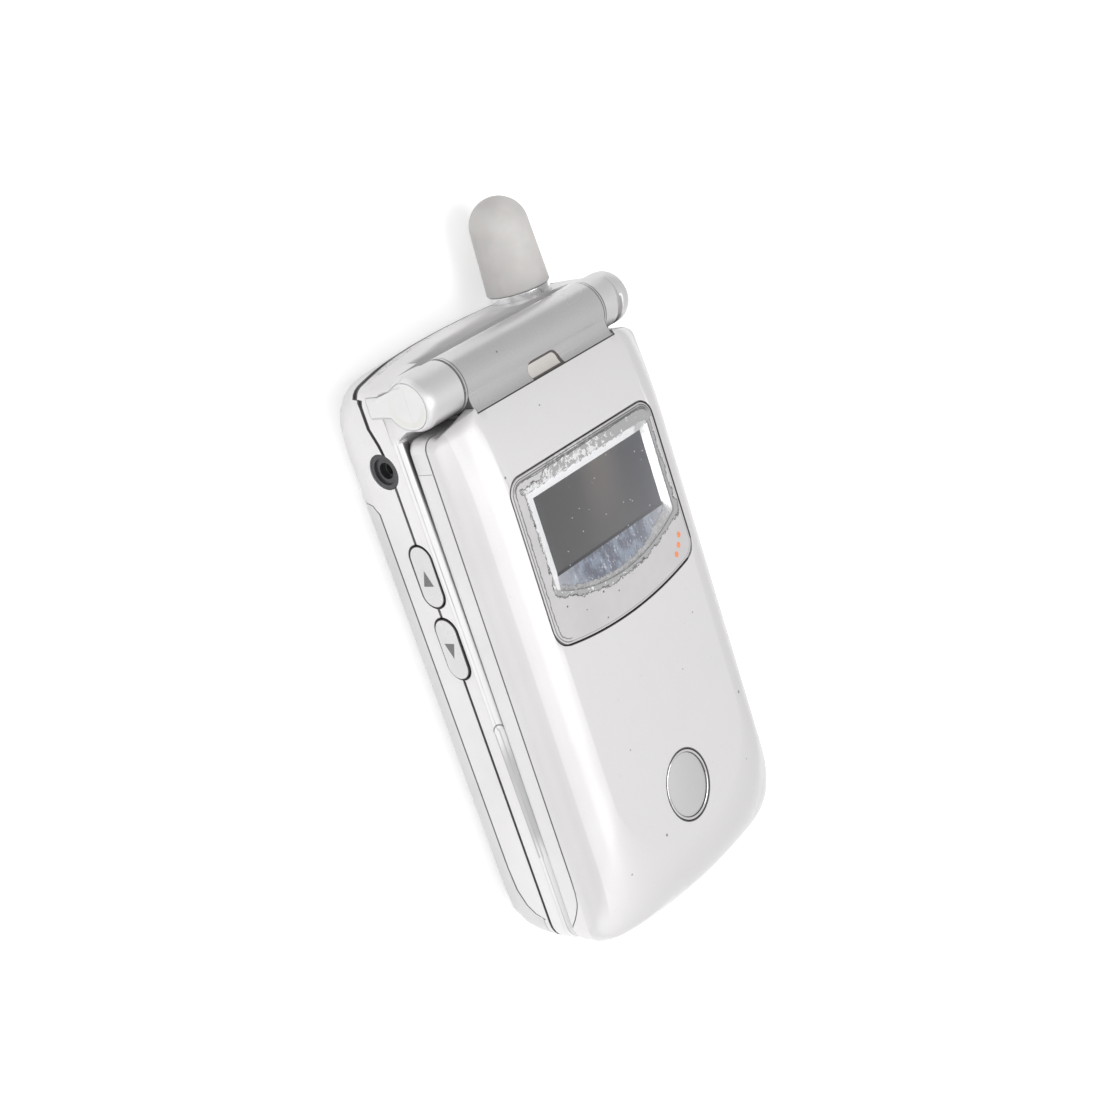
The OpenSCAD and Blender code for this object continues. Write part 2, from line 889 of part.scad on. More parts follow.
module headset_jack() {
    face = base_side(jack_at[0]) - 0.15;
    color("#17181a")
    placed()
    difference() {
        union() {
            translate([-face, jack_at[0], jack_at[1]])
                rotate([0, 90, 0])
                    cylinder(r = jack_face_r, h = 4);
            box([-face + wall + 0.1, jack_at[0] - 3, jack_at[1] - 2.6],
                [-face + jack_l + 0.6, jack_at[0] + 3, jack_at[1] + 2.6]);
        }
        translate([-face - over, jack_at[0], jack_at[1]])
            rotate([0, 90, 0])
                cylinder(r = jack_r, h = jack_l + over);
        translate([-face - over, jack_at[0], jack_at[1]])
            rotate([0, 90, 0])
                cylinder(r = jack_face_r - 0.6, h = over + 0.35);
    }
}

module antenna_collar() {
    foot = body_l - over + 0.05;
    color("#d5d6d8")
    placed() {
        on_antenna(foot)
            cylinder(r = collar_r, h = body_l + 0.78 - foot);
        on_antenna(body_l - 9)
            cylinder(r = 2.8, h = 9);
        on_antenna(body_l)
            cylinder(r = 2, h = 7.6);
    }
}

module antenna_cap() {
    foot = body_l + 0.82;
    l = overall_l - foot;
    tip_r = antenna_top_r;
    color("#b7b6b3")
    placed()
    on_antenna(foot)
        difference() {
            rotate_extrude($fn = 64)
                polygon(concat([[0, 0], [antenna_foot_r - 0.25, 0], [antenna_foot_r, 0.3]],
                               [for (t = [0:10:90])
                                   [tip_r * cos(t), l - tip_r + tip_r * sin(t)]]));
            translate([0, 0, -over])
                cylinder(r = 2.05, h = 8);
        }
}

// ---- Keys ----

nav_y = 62;
soft_at = [screw_at[1][0] - 7.2, nav_y + nav_r + 0.4];
soft_size = [8.2, 4.6];
call_at = [base_side(nav_y - 10.5) - 9.557, nav_y - 10.5];
call_size = [9, 6.6];

function digit_at(i) =
    [pitch_x * (i % 3 - 1), key_row + pitch_y * (3 - floor(i / 3))];

// A keypad key: its cap through the deck, the flange below and the plunger over its dome.
// The child is the cap's outline about the key's centre
module key_at(x, y, flange) {
    placed()
    translate([x, y, 0]) {
        intersection() {
            translate([0, 0, ceiling_h - 0.3])
                linear_extrude(base_h - ceiling_h)
                    children();
            translate([0, 0, base_h - 0.1 - 40])
                sphere(40, $fn = 96);
        }
        translate([0, 0, ceiling_h - 0.7])
            linear_extrude(0.55)
                rounded(flange, 1);
        translate([0, 0, dome_top + key_travel + 0.05])
            cylinder(r = 1.4, h = ceiling_h - 0.4 - dome_top - key_travel);
    }
}

module digit_key(i) {
    at = digit_at(i);
    color("#c3c6cc")
    key_at(at[0], at[1], key_size + [0.9, 0.9])
        rounded(key_size, 1.2);
}

module nav_key() {
    color("#c3c6cc")
    difference() {
        key_at(0, nav_y, [2 * nav_r - 1, 2 * nav_r - 1])
            circle(nav_r);
        placed()
            translate([0, nav_y, base_h - 0.5])
                cylinder(r = 2.6, h = 2);
    }
}

module soft_key(side) {
    color("#c3c6cc")
    key_at(side * soft_at[0], soft_at[1], soft_size + [0.6, 0.8])
        rounded(soft_size, 1.2);
}

module call_or_end_key(side) {
    color("#c3c6cc")
    key_at(side * call_at[0], call_at[1], call_size + [0.6, 0.8])
        rounded(call_size, 1.5);
}

// A side key at a height along Y: the pill that shows, its flange and its plunger
module side_key_at(y, side) {
    face = base_side(volume_up_y) + side_key_proud;
    inside = base_side(y) - wall - 0.12;
    color("#d4d5d8")
    placed()
    mirror([side < 0 ? 1 : 0, 0, 0]) {
        along_x(inside - 0.1, face)
            translate([y, seam_h])
                pill(side_key_l, side_key_w);
        along_x(inside - 0.7, inside)
            translate([y, seam_h])
                square([side_key_l + 1.4, side_key_w - 1.2], center = true);
        box([base_side(y) - 3.6, y - 1.2, board_top - 0.6],
            [inside - 0.5, y + 1.2, board_top + 0.8]);
    }
}

// ---- Flip ----

// Side view of the lip's hollow, from its front edge to the barrel
LIP = [[0, 0], [0.2, -0.33], [0.5, -0.57], [0.9, -0.76], [1.4, -0.9], [1.9, -0.95], [2.4, -0.9]];
lip_curve = [for (p = LIP) [lip_y + p[0], lip_h + p[1]]];

// Side view of the barrel with the lip that carries the flip's upper edge
module neck_profile() {
    difference() {
        union() {
            translate([hinge_y, hinge_z])
                circle(barrel_r);
            polygon(concat([[flip_top + 0.15, flip_h + 0.8], [flip_top + 0.15, cover_h + 0.02],
                            [lip_y, cover_h + 0.02]], lip_curve,
                           [[hinge_y - 1.2, hinge_z + barrel_r - 0.2], [hinge_y, hinge_z],
                            [hinge_y - 2, hinge_z - barrel_r + 0.55]]));
        }
        translate([hinge_y, hinge_z])
            circle(barrel_bore);
    }
}

// Outline of the indicator window in plan
module window_plan(gap) {
    translate([0.4, lip_y + 0.45])
        rounded([7 + 2 * gap, 3.8 + 2 * gap], 1.5);
}

module window_block(gap, low) {
    translate([0, 0, low])
        linear_extrude(5)
            window_plan(gap);
}

module hinge_barrel() {
    color("#d6d7da")
    placed()
    difference() {
        union() {
            along_x(-lip_half, lip_half)
                neck_profile();
            for (s = [-1, 1])
                translate([s < 0 ? -barrel_half : lip_half - 0.1, hinge_y, hinge_z])
                    rotate([0, 90, 0])
                        difference() {
                            cylinder(r = barrel_r, h = barrel_half - lip_half + 0.1);
                            translate([0, 0, -over])
                                cylinder(r = barrel_bore, h = 4);
                        }
            both_sides()
                box([lug_x - 2.4, flip_top - 4.2, cover_h + 0.15],
                    [lug_x + 2.4, lip_y + 0.4, cover_h + 1.5]);
        }
        window_block(thin, hinge_z + barrel_bore - 0.2);
        box([2.2, lip_y - over, flip_board_h + 0.7], [6.8, hinge_y - 1, flip_board_h + 1.5]);
    }
}

module indicator_window() {
    low = hinge_z + barrel_bore - 0.1;
    color("#d8cbb6")
    placed()
    intersection() {
        along_x(-lip_half, lip_half)
            polygon(concat(lip_curve, [[lip_y + 2.4, low], [lip_y, low]]));
        window_block(0, low - over);
    }
}

module hinge_cartridge() {
    color("#a7abb1")
    placed()
        on_hinge(-barrel_half + 0.1)
            difference() {
                cylinder(r = barrel_bore - 0.02, h = 13.6);
                translate([0, 0, -over])
                    cylinder(r = pin_r + run_fit, h = 10);
            }
}

module hinge_flex() {
    color("#b5762c")
    placed() {
        on_hinge(2.5)
            difference() {
                cylinder(r = 2, h = flex_end - 2.5);
                translate([0, 0, -over])
                    cylinder(r = 1.6, h = flex_end);
            }
        box([2.6, flip_top - 7.4, flip_board_h + 0.9],
            [6.4, hinge_y, flip_board_h + 1.02]);
    }
}

module flip_floor_posts(r, from, to) {
    for (p = flip_screw_at)
        both_sides()
            translate([p[0], p[1], from])
                cylinder(r = r, h = to - from);
}

module flip_inner_housing() {
    color("#c6c8cc")
    placed()
    difference() {
        union() {
            loft([[flip_out(0.7, flip_top - 0.4), flip_h],
                  [flip_out(0.15, flip_top - 0.1), flip_h + 0.35],
                  [flip_out(), flip_h + 0.8],
                  [flip_out(), cover_h],
                  [flip_out(1, flip_top - 1), cover_h],
                  [flip_out(1.05, flip_top - 1.05), inner_floor]]);
            flip_floor_posts(2.5, inner_floor - 0.1, inner_floor + 1);
            both_sides()
                translate([lug_x, flip_top - 2.6, inner_floor - 0.1])
                    cylinder(r = 1.5, h = strip_h - 1);
        }
        intersection() {
            along_x(-30, 30)
                skirt_profile(0.07);
            difference() {
                plate(flip_out(-over), flip_h - over, cover_h + over);
                plate(flip_out(cover_wall + 0.08), flip_h - 2, cover_h + 2);
            }
        }
        both_sides()
            box([flip_w / 2 - 0.15, 78.44, flip_h + 0.5], [30, 78.56, cover_h + over]);
        flip_floor_posts(1.8, flip_h - over, flip_h + 0.5);
        flip_floor_posts(1.5, flip_h, flip_h + 1.3);
        flip_floor_posts(0.9, flip_h, cover_h);
        translate([0, inner_view_y, flip_h - over])
            linear_extrude(over + 0.65)
                rounded(inner_view + [4.2, 4.2], 2);
        translate([0, inner_view_y, flip_h])
            linear_extrude(2)
                rounded(inner_view, 1);
        for (i = [-1, 0, 1])
            translate([0, ear_y + 1.7 * i, flip_h - over])
                linear_extrude(3)
                    pill(6 - abs(i) * 2, 0.7);
    }
}

// Height along Y of the earpiece, between the inner display and the motor
ear_y = inner_view_y - inner_h / 2 - 7;

module inner_lens() {
    color("#23262b")
    placed()
        translate([0, inner_view_y, flip_h + 0.05])
            linear_extrude(0.55)
                rounded(inner_view + [4, 4], 1.9);
}

module inner_display() {
    color("#34383f")
    placed()
        translate([0, inner_view_y, inner_floor + 0.1])
            linear_extrude(2.2)
                rounded(inner_view + [3, 4], 0.6);
}

module earpiece() {
    color("#55585e")
    placed()
    difference() {
        translate([0, ear_y, inner_floor + 0.1])
            cylinder(r = 4.6, h = 2);
        translate([0, ear_y, inner_floor])
            cylinder(r = 3.6, h = 0.5);
    }
}

module flip_board() {
    color("#2f6b4f")
    placed()
        translate([0, inner_view_y + 3.5, flip_board_h])
            linear_extrude(0.8)
                rounded(inner_view + [1, 16], 1);
}

module outer_display() {
    color("#4c4f52")
    placed()
        translate([outer_view_x, outer_view_y, flip_board_h + 0.85])
            linear_extrude(shell_top - 0.75 - flip_board_h - 0.85)
                rounded(outer_view + [3, 3], 0.8);
}

// Side view of the cover's skirt, which closes the flip's bottom end
module skirt_profile(gap) {
    curve = [[5.2, 0], [6.1, 0.2], [7.26, 0.45], [8.4, 0.65], [9.5, 0.81], [10.4, 0.91],
             [12, 0.98], [14.4, 1.02]];
    polygon(concat([[-2, flip_h - over], [5.2 + gap, flip_h - over]],
                   [for (p = curve) [p[0] + gap, flip_h + p[1] * strip_h]],
                   [[14.4 + gap, cover_h + 2], [-2, cover_h + 2]]));
}

module skirt() {
    low = flip_h + 0.02;
    intersection() {
        along_x(-30, 30)
            skirt_profile(0);
        difference() {
            loft([[flip_out(0.7), low], [flip_out(0.15), low + 0.35],
                  [flip_out(), low + 0.8], [flip_out(), cover_h + cover_seam],
                  [flip_out(0.12), cover_h + cover_seam + 0.2]]);
            plate(flip_out(cover_wall), flip_h - over, cover_h + 2);
        }
    }
}

// How far the cover's front falls towards the hinge
function head_drop(y) = y > 70 ? 55 - sqrt(55 * 55 - pow(y - 70, 2)) : 0;

// Rise of the cover from its seam to its front: [share of the height, inset of the sides, inset
// of the bottom end, upper edge, radius of the upper edge, share of the fall towards the hinge]
COVER = [[0, 0, 0, flip_top, 3000, 0],
         [0.19, 0.5, 0.1, flip_top + 1.2, 150, 0.1],
         [0.36, 1.15, 0.55, flip_top + 2.2, 100, 0.35],
         [0.52, 1.85, 1.25, flip_top + 2.8, 80, 0.7],
         [0.62, 2.45, 1.9, flip_top + 3.2, 70, 0.9],
         [0.745, 3.4, 3.2, flip_top + 3.2, 70, 1],
         [0.865, 4.5, 5, flip_top + 3.2, 70, 1],
         [0.95, 5.8, 7, flip_top + 3, 80, 1],
         [0.985, 6.8, 8.5, flip_top + 1.2, 400, 1],
         [0.992, 7.1, 9, 80, 900, 1],
         [0.997, 7.3, 9.5, 75, 900, 1],
         [1, 7.5, 10, 70, 900, 1]];

// The cover's solid, drawn in and lowered by a wall
module cover_body(in) {
    seam = cover_h + cover_seam;
    rise = closed_h - seam;
    rings = [for (c = COVER)
        let(o = [flip_w / 2 - c[1] - in, 0, c[2] + in, bottom_bow - c[2] - in,
                 max(bottom_corner - in, 2.5) + 2.6 * min(c[1], 2.5) + 0.5 * c[1],
                 c[3] - in, c[4], 1.8 + 0.1 * c[1]])
        [for (p = outline(o))
            [p[0], p[1], c[0] == 0 && in > 0 ? cover_h - over
                                             : seam + rise * c[0] - in - c[5] * head_drop(p[1])]]];
    skin(rings);
}

module flip_cover() {
    seat = closed_h - 0.95;
    color("#d6d7da")
    placed()
    difference() {
        union() {
            difference() {
                cover_body(0);
                cover_body(cover_wall);
            }
            skirt();
            plate(lens_out(-1.2), shell_top - 0.6, shell_top + 0.05);
            intersection() {
                cover_body(0.4);
                flip_floor_posts(2, inner_floor + 1.1, closed_h);
            }
        }
        plate(lens_out(), seat, closed_h + over);
        translate([outer_view_x, outer_view_y, cover_h])
            linear_extrude(closed_h - cover_h)
                square(outer_view + [3.6, 3.6], center = true);
        flip_floor_posts(0.75, cover_h - 3, cover_h + 2.2);
        box([-lip_half - 0.1, lip_y - 0.1, cover_h - over], [lip_half + 0.1, 100, 30]);
        box([-lip_half - 0.1, flip_top - cover_wall - 0.1, cover_h - over],
            [lip_half + 0.1, 100, cover_h + 1.9]);
        both_sides()
            box([lug_x - 2.6, 78, cover_h - over], [lug_x + 2.6, 90, cover_h + 1.65]);
        box([2, 78, cover_h - over], [7, 90, cover_h + 1.9]);
        translate([0, badge_y, closed_h - 0.65])
            scale([1, 1.147, 1])
                cylinder(r = 4.9, h = 2);
    }
}

badge_y = 17.5;

module badge() {
    color("#d9dadc")
    placed()
        translate([0, badge_y, closed_h - 0.62]) {
            linear_extrude(0.5)
                scale([1, 1.147])
                    circle(4.83);
            linear_extrude(0.62)
                difference() {
                    scale([1, 1.147])
                        circle(4.65);
                    scale([1, 1.147])
                        circle(4.2);
                }
        }
}

module mirror_mask() {
    color("#aeb4bb")
    placed()
    difference() {
        plate(lens_out(0.15), closed_h - 0.93, closed_h - 0.78);
        translate([outer_view_x, outer_view_y, 0])
            linear_extrude(30)
                square(outer_view, center = true);
    }
}

module outer_lens() {
    color("#c9cdd2")
    placed()
        plate(lens_out(0.15), closed_h - 0.75, closed_h - 0.05);
}

motor_at = [14, 18.2];

module vibration_motor() {
    color("#b4b7bc")
    placed()
        translate([-12, motor_at[0], motor_at[1]])
            rotate([0, 90, 0])
                difference() {
                    union() {
                        cylinder(r = 2.2, h = 9.5);
                        translate([0, 0, 9.4])
                            cylinder(r = 1.2, h = 0.6);
                    }
                    translate([0, 0, -over])
                        cylinder(r = 0.45, h = 5);
                }
}

module motor_weight() {
    color("#7f8288")
    placed()
        translate([-15.6, motor_at[0], motor_at[1]])
            rotate([0, 90, 0]) {
                difference() {
                    cylinder(r = 2.1, h = 3.2);
                    translate([-5, 0.6, -over])
                        cube([10, 5, 6]);
                }
                cylinder(r = 0.9, h = 3.2);
                cylinder(r = 0.4, h = 7);
            }
}

module flip_magnet() {
    color("#6d7075")
    placed()
        box([9, 12, inner_floor + 0.05], [14, 16, inner_floor + 1.5]);
}

module flip_bumpers() {
    color("#8b8d90")
    placed()
        for (p = flip_screw_at)
            both_sides()
                translate([p[0], p[1], deck_h + 0.2])
                    cylinder(r = 1.7, h = flip_h + 0.45 - deck_h - 0.2);
}

module flip_screws() {
    color("#8d9096")
    placed()
        for (p = flip_screw_at)
            both_sides()
                translate([p[0], p[1], flip_h + 0.55]) {
                    cylinder(r = 1.4, h = 0.7);
                    cylinder(r = 0.7, h = 4.6);
                }
}

rear_housing();
battery_door();
battery_latch();
battery_pack();
battery_contacts();
sim_holder();
front_housing();
ear_cap_left();
ear_cap_right();
hinge_bushing();
hinge_cam_shaft();
main_board();
shield_can();
keypad_domes();
microphone();
accessory_connector();
loudspeaker();
headset_jack();
antenna_collar();
antenna_cap();
housing_screws();
side_key_at(volume_y[1], -1);  // volume_up_key
side_key_at(volume_y[0], -1);  // volume_down_key
side_key_at((volume_y[0] + volume_y[1]) / 2, 1);  // side_key
nav_key();
soft_key(-1);  // soft_key_left
soft_key(1);  // soft_key_right
call_or_end_key(-1);  // call_key
call_or_end_key(1);  // end_key
for (i = digits)
    digit_key(i);
hinge_barrel();
hinge_cartridge();
hinge_flex();
indicator_window();
flip_inner_housing();
inner_lens();
inner_display();
earpiece();
flip_board();
outer_display();
mirror_mask();
outer_lens();
flip_cover();
badge();
vibration_motor();
motor_weight();
flip_magnet();
flip_bumpers();
flip_screws();
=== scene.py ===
"""Looks of a silver clamshell phone with a stub antenna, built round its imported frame.

Lengths are written in millimetres in the phone's own axes: x across the body, y from the bottom
end towards the antenna and z from the back to the front. at() turns such a place into the frame's
metres.
"""

import json
import logging
import math
from contextlib import contextmanager
from dataclasses import dataclass
from enum import Enum
from typing import Iterator, Optional, Sequence

import bmesh
import bpy
import numpy as np
from mathutils import Matrix, Vector


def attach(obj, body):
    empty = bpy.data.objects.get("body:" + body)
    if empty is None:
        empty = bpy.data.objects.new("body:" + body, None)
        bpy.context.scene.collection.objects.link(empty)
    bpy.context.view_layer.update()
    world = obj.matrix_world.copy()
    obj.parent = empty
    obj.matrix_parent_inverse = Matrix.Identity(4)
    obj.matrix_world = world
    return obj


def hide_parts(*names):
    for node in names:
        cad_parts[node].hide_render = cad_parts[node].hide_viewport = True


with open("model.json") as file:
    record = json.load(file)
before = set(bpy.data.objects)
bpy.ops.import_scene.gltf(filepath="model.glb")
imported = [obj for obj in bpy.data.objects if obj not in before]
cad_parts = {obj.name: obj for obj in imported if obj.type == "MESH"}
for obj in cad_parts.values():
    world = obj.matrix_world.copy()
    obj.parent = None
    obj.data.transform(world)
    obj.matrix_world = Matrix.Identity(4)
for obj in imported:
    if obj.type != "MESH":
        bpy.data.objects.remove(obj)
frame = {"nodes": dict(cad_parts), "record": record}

LOG = logging.getLogger("clamshell_phone")
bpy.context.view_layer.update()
MM = 0.001
END_Y = -53.75  # the bottom end's y in the frame
STRAIGHT = 3000.0  # radius of an edge that is all but straight
HUB_Y, HUB_Z = 88.4, 17.33  # the hinge's axis
JACK_Y, JACK_Z = 79.54, 9.3  # the headset socket's axis
NECK_Y, NECK_HALF = 84.1, 15.5  # the opening in the cover's upper end for the barrel's lip
BADGE_Y = 17.5
Pair = tuple[float, float]
Point = tuple[float, float, float]
Colour = tuple[float, float, float]
Socket = bpy.types.NodeSocket
Piece = bpy.types.Object


def at(x: float, y: float, z: float) -> Vector:
    """A place on the phone, in the frame's metres."""
    return Vector((x * MM, (y + END_Y) * MM, z * MM))


# ---- Node trees of the finishes ----


class Tree:
    """A node tree that is filled from empty."""

    def __init__(self, owner: bpy.types.Material | bpy.types.World, output: str) -> None:
        """Empties the tree of a material or a world and adds its output."""
        owner.use_nodes = True
        self.tree = owner.node_tree
        self.tree.nodes.clear()
        self.output = self.add(output)

    def add(self, kind: str, **settings: object) -> bpy.types.Node:
        """Adds a node and sets its properties."""
        node = self.tree.nodes.new(kind)
        for key, value in settings.items():
            setattr(node, key, value)
        return node

    def link(self, start: Socket, end: Socket) -> None:
        """Joins two sockets."""
        self.tree.links.new(start, end)

    def feed(self, socket: Socket, value: object) -> None:
        """Sets a socket to a number or colour, or links another socket to it."""
        if isinstance(value, Socket):
            self.link(value, socket)
        elif isinstance(value, tuple) and len(value) == 3 and socket.type == "RGBA":
            socket.default_value = (*value, 1.0)
        else:
            socket.default_value = value

    def fill(self, node: bpy.types.Node, *values: object) -> bpy.types.Node:
        """Feeds a node's first sockets in turn."""
        for socket, value in zip(node.inputs, values):
            self.feed(socket, value)
        return node

    def math(self, operation: str, *values: object, clamp: bool = False) -> Socket:
        """A Math node of up to three values."""
        node = self.add("ShaderNodeMath", operation=operation, use_clamp=clamp)
        return self.fill(node, *values).outputs[0]

    def chosen(self, share: Socket, first: Socket, second: Socket) -> Socket:
        """Mixes two shaders by a share from 0 to 1."""
        return self.fill(self.add("ShaderNodeMixShader"), share, first, second).outputs[0]

    def show(self, shader: Socket) -> None:
        """Links a shader to the output."""
        self.link(shader, self.output.inputs["Surface"])


class Graph(Tree):
    """A material's node tree, with places measured in millimetres of the phone."""

    def __init__(self, name: str) -> None:
        """Starts a material and splits its object coordinates."""
        self.material = bpy.data.materials.new(name)
        super().__init__(self.material, "ShaderNodeOutputMaterial")
        coordinates = self.add("ShaderNodeTexCoord")
        scaled = self.add("ShaderNodeVectorMath", operation="SCALE")
        scaled.inputs["Scale"].default_value = 1 / MM
        self.link(coordinates.outputs["Object"], scaled.inputs[0])
        self.place = scaled.outputs[0]
        split = self.add("ShaderNodeSeparateXYZ")
        self.link(self.place, split.inputs[0])
        self.x, self.z = split.outputs[0], split.outputs[2]
        self.y = self.plus(split.outputs[1], -END_Y)

    def minus(self, first: object, second: object) -> Socket:
        """The first value less the second."""
        return self.math("SUBTRACT", first, second)

    def plus(self, first: object, second: object) -> Socket:
        """The sum of two values."""
        return self.math("ADD", first, second)

    def times(self, *values: object) -> Socket:
        """The product of several values."""
        total = values[0]
        for value in values[1:]:
            total = self.math("MULTIPLY", total, value)
        return total

    def most(self, first: object, second: object) -> Socket:
        """The greater of two values."""
        return self.math("MAXIMUM", first, second)

    def size(self, value: object) -> Socket:
        """A value without its sign."""
        return self.math("ABSOLUTE", value)

    def scaled(self, value: object, factor: object, shift: object) -> Socket:
        """A value times a factor, plus a shift."""
        return self.math("MULTIPLY_ADD", value, factor, shift)

    def reach(self, first: object, second: object) -> Socket:
        """The length of a slanted line from its two legs."""
        return self.math("SQRT", self.plus(self.times(first, first), self.times(second, second)))

    def step(self, value: object, low: float, high: float, start: float = 0.0,
             end: float = 1.0) -> Socket:
        """A smooth step of value from start at low to end at high."""
        node = self.add("ShaderNodeMapRange", interpolation_type="SMOOTHSTEP")
        return self.fill(node, value, low, high, start, end).outputs[0]

    def ramp(self, value: object, low: float, high: float, start: float, end: float) -> Socket:
        """A straight, clamped run of value from start at low to end at high."""
        node = self.add("ShaderNodeMapRange", interpolation_type="LINEAR", clamp=True)
        return self.fill(node, value, low, high, start, end).outputs[0]

    def noise(self, size: float, detail: float = 2.0, rough: float = 0.5,
              stretch: Point = (1, 1, 1)) -> Socket:
        """Noise whose features are about size millimetres across."""
        node = self.add("ShaderNodeTexNoise")
        mapping = self.add("ShaderNodeMapping")
        mapping.inputs["Scale"].default_value = tuple(s / size for s in stretch)
        self.link(self.place, mapping.inputs["Vector"])
        self.link(mapping.outputs[0], node.inputs["Vector"])
        node.inputs["Scale"].default_value = 1.0
        node.inputs["Detail"].default_value = detail
        node.inputs["Roughness"].default_value = rough
        return node.outputs[0]

    def cells(self, size: float) -> Socket:
        """Distance, in cell widths, to the nearest of scattered points."""
        node = self.add("ShaderNodeTexVoronoi")
        self.link(self.place, node.inputs["Vector"])
        node.inputs["Scale"].default_value = 1 / size
        return node.outputs["Distance"]

    def blend(self, share: object, first: object, second: object) -> Socket:
        """Mixes two colours by a share from 0 to 1."""
        node = self.add("ShaderNodeMix", data_type="RGBA")
        self.feed(node.inputs[0], share)
        self.feed(node.inputs[6], first)
        self.feed(node.inputs[7], second)
        return node.outputs[2]

    def away(self, places: Sequence[Point], fade: float = 0.12) -> Socket:
        """1 inside any of the round marks (x, y, radius) and 0 outside them."""
        total: object = 0.0
        for x, y, radius in places:
            far = self.reach(self.minus(self.x, x), self.minus(self.y, y))
            total = self.most(self.step(far, radius - fade, radius + fade, 1.0, 0.0), total)
        return total

    def course(self, points: Sequence[Pair]) -> Socket:
        """The height of a run of straight stretches, given as (y, z) points."""
        height: object = points[0][1]
        for (start, low), (end, high) in zip(points, points[1:]):
            if abs(high - low) > 1e-9:
                height = self.plus(height, self.ramp(self.y, start, end, 0.0, high - low))
        return height

    def line(self, distance: object, half: float, share: float = 1.0,
             fade: float = 0.05) -> Socket:
        """A line of the given half width along where a distance is nought."""
        return self.step(self.size(distance), half - fade / 2, half + fade, share, 0.0)

    def within(self, value: object, low: float, high: float, fade: float = 0.1) -> Socket:
        """1 where a value lies between two limits."""
        return self.times(self.step(value, low - fade, low),
                          self.step(value, high, high + fade, 1.0, 0.0))

    def from_point(self, y: float, z: float) -> Socket:
        """Distance from a line along x through (y, z)."""
        return self.reach(self.minus(self.y, y), self.minus(self.z, z))

    def stadium(self, y: float, z: float, half: float, radius: float) -> Socket:
        """Distance beyond a slot's outline, in side view."""
        far = self.size(self.minus(self.y, y))
        dy = self.most(self.minus(far, half), 0.0)
        return self.minus(self.reach(dy, self.minus(self.z, z)), radius)

    def rounder(self, first: object, second: object, radius: float) -> Socket:
        """The greater of two distances beyond an edge, with the corner between them rounded."""
        a = self.most(self.plus(first, radius), 0.0)
        b = self.most(self.plus(second, radius), 0.0)
        far = self.reach(a, b)
        inner = self.math("MINIMUM", self.most(first, second), -radius)
        return self.plus(self.minus(far, radius), self.plus(inner, radius))

    def bump(self, height: Socket, depth_mm: float, under: Optional[Socket] = None) -> Socket:
        """A bump of the given depth, on top of another."""
        node = self.add("ShaderNodeBump")
        node.inputs["Strength"].default_value = 1.0
        node.inputs["Distance"].default_value = depth_mm * MM
        self.link(height, node.inputs["Height"])
        if under is not None:
            self.link(under, node.inputs["Normal"])
        return node.outputs[0]

    def principled(self, **values: object) -> bpy.types.Node:
        """A Principled shader whose sockets are named with underscores for spaces."""
        node = self.add("ShaderNodeBsdfPrincipled")
        for key, value in values.items():
            self.feed(node.inputs[key.replace("_", " ")], value)
        return node

    def finish(self, shader: Socket) -> bpy.types.Material:
        """Links the shader to the output and returns the material."""
        self.show(shader)
        return self.material


@dataclass(frozen=True)
class SeamPath:
    """The groove between the front and rear housings, level at the sides and bowed at the end."""

    level: float = 10.5
    first: float = 10.1
    ledge: float = 9.25
    corner: float = 8.3
    crown: float = 4.8
    half: float = 24.2
    end_y: float = 90.3
    reach: float = 0.24
    depth: float = 0.35

    @property
    def falls(self) -> tuple[Point, ...]:
        """The side seam's falls as (from y, to y, drop)."""
        return ((81.5, 83.5, self.level - self.first), (83.5, 86.0, self.first - self.ledge),
                (self.end_y - 0.1, self.end_y, self.ledge - self.corner))

    def side_line(self) -> list[Pair]:
        """The side seam as (y, z) points."""
        line, z = [(-3.0, self.level)], self.level
        for start, end, drop in self.falls:
            line.append((start, z))
            z -= drop
            line.append((end, z))
        return line

    def end_line(self, steps: int = 40) -> list[Pair]:
        """The end seam as (x, z) points, a little past both corners."""
        xs = [self.half * (2 * i / steps - 1) for i in range(steps + 1)]
        return [(x, self.corner - self.crown * (1 - (x / self.half) ** 2)) for x in xs]

    def over(self, g: Graph) -> Socket:
        """Height above the seam."""
        side = g.course(self.side_line())
        share = g.math("DIVIDE", g.x, self.half)
        bow = g.scaled(g.times(share, share), self.crown, self.corner - self.crown)
        past = g.math("GREATER_THAN", g.y, self.end_y)
        height = g.plus(g.times(g.minus(bow, side), past), side)
        return g.minus(g.z, height)

    def mask(self, g: Graph) -> Socket:
        """1 in the groove and 0 off it, widened towards the hinge end to take in shaded edges."""
        # Widened where the housings' edges beside the groove lie in shade
        grown = g.plus(g.step(g.y, 80.5, 84.0, 0.0, 0.1), g.step(g.y, 89.0, 90.3, 0.0, 0.22))
        off = g.minus(g.size(self.over(g)), grown)
        return g.step(off, self.reach - 0.03, self.reach + 0.05, 1.0, 0.0)


SEAM = SeamPath()


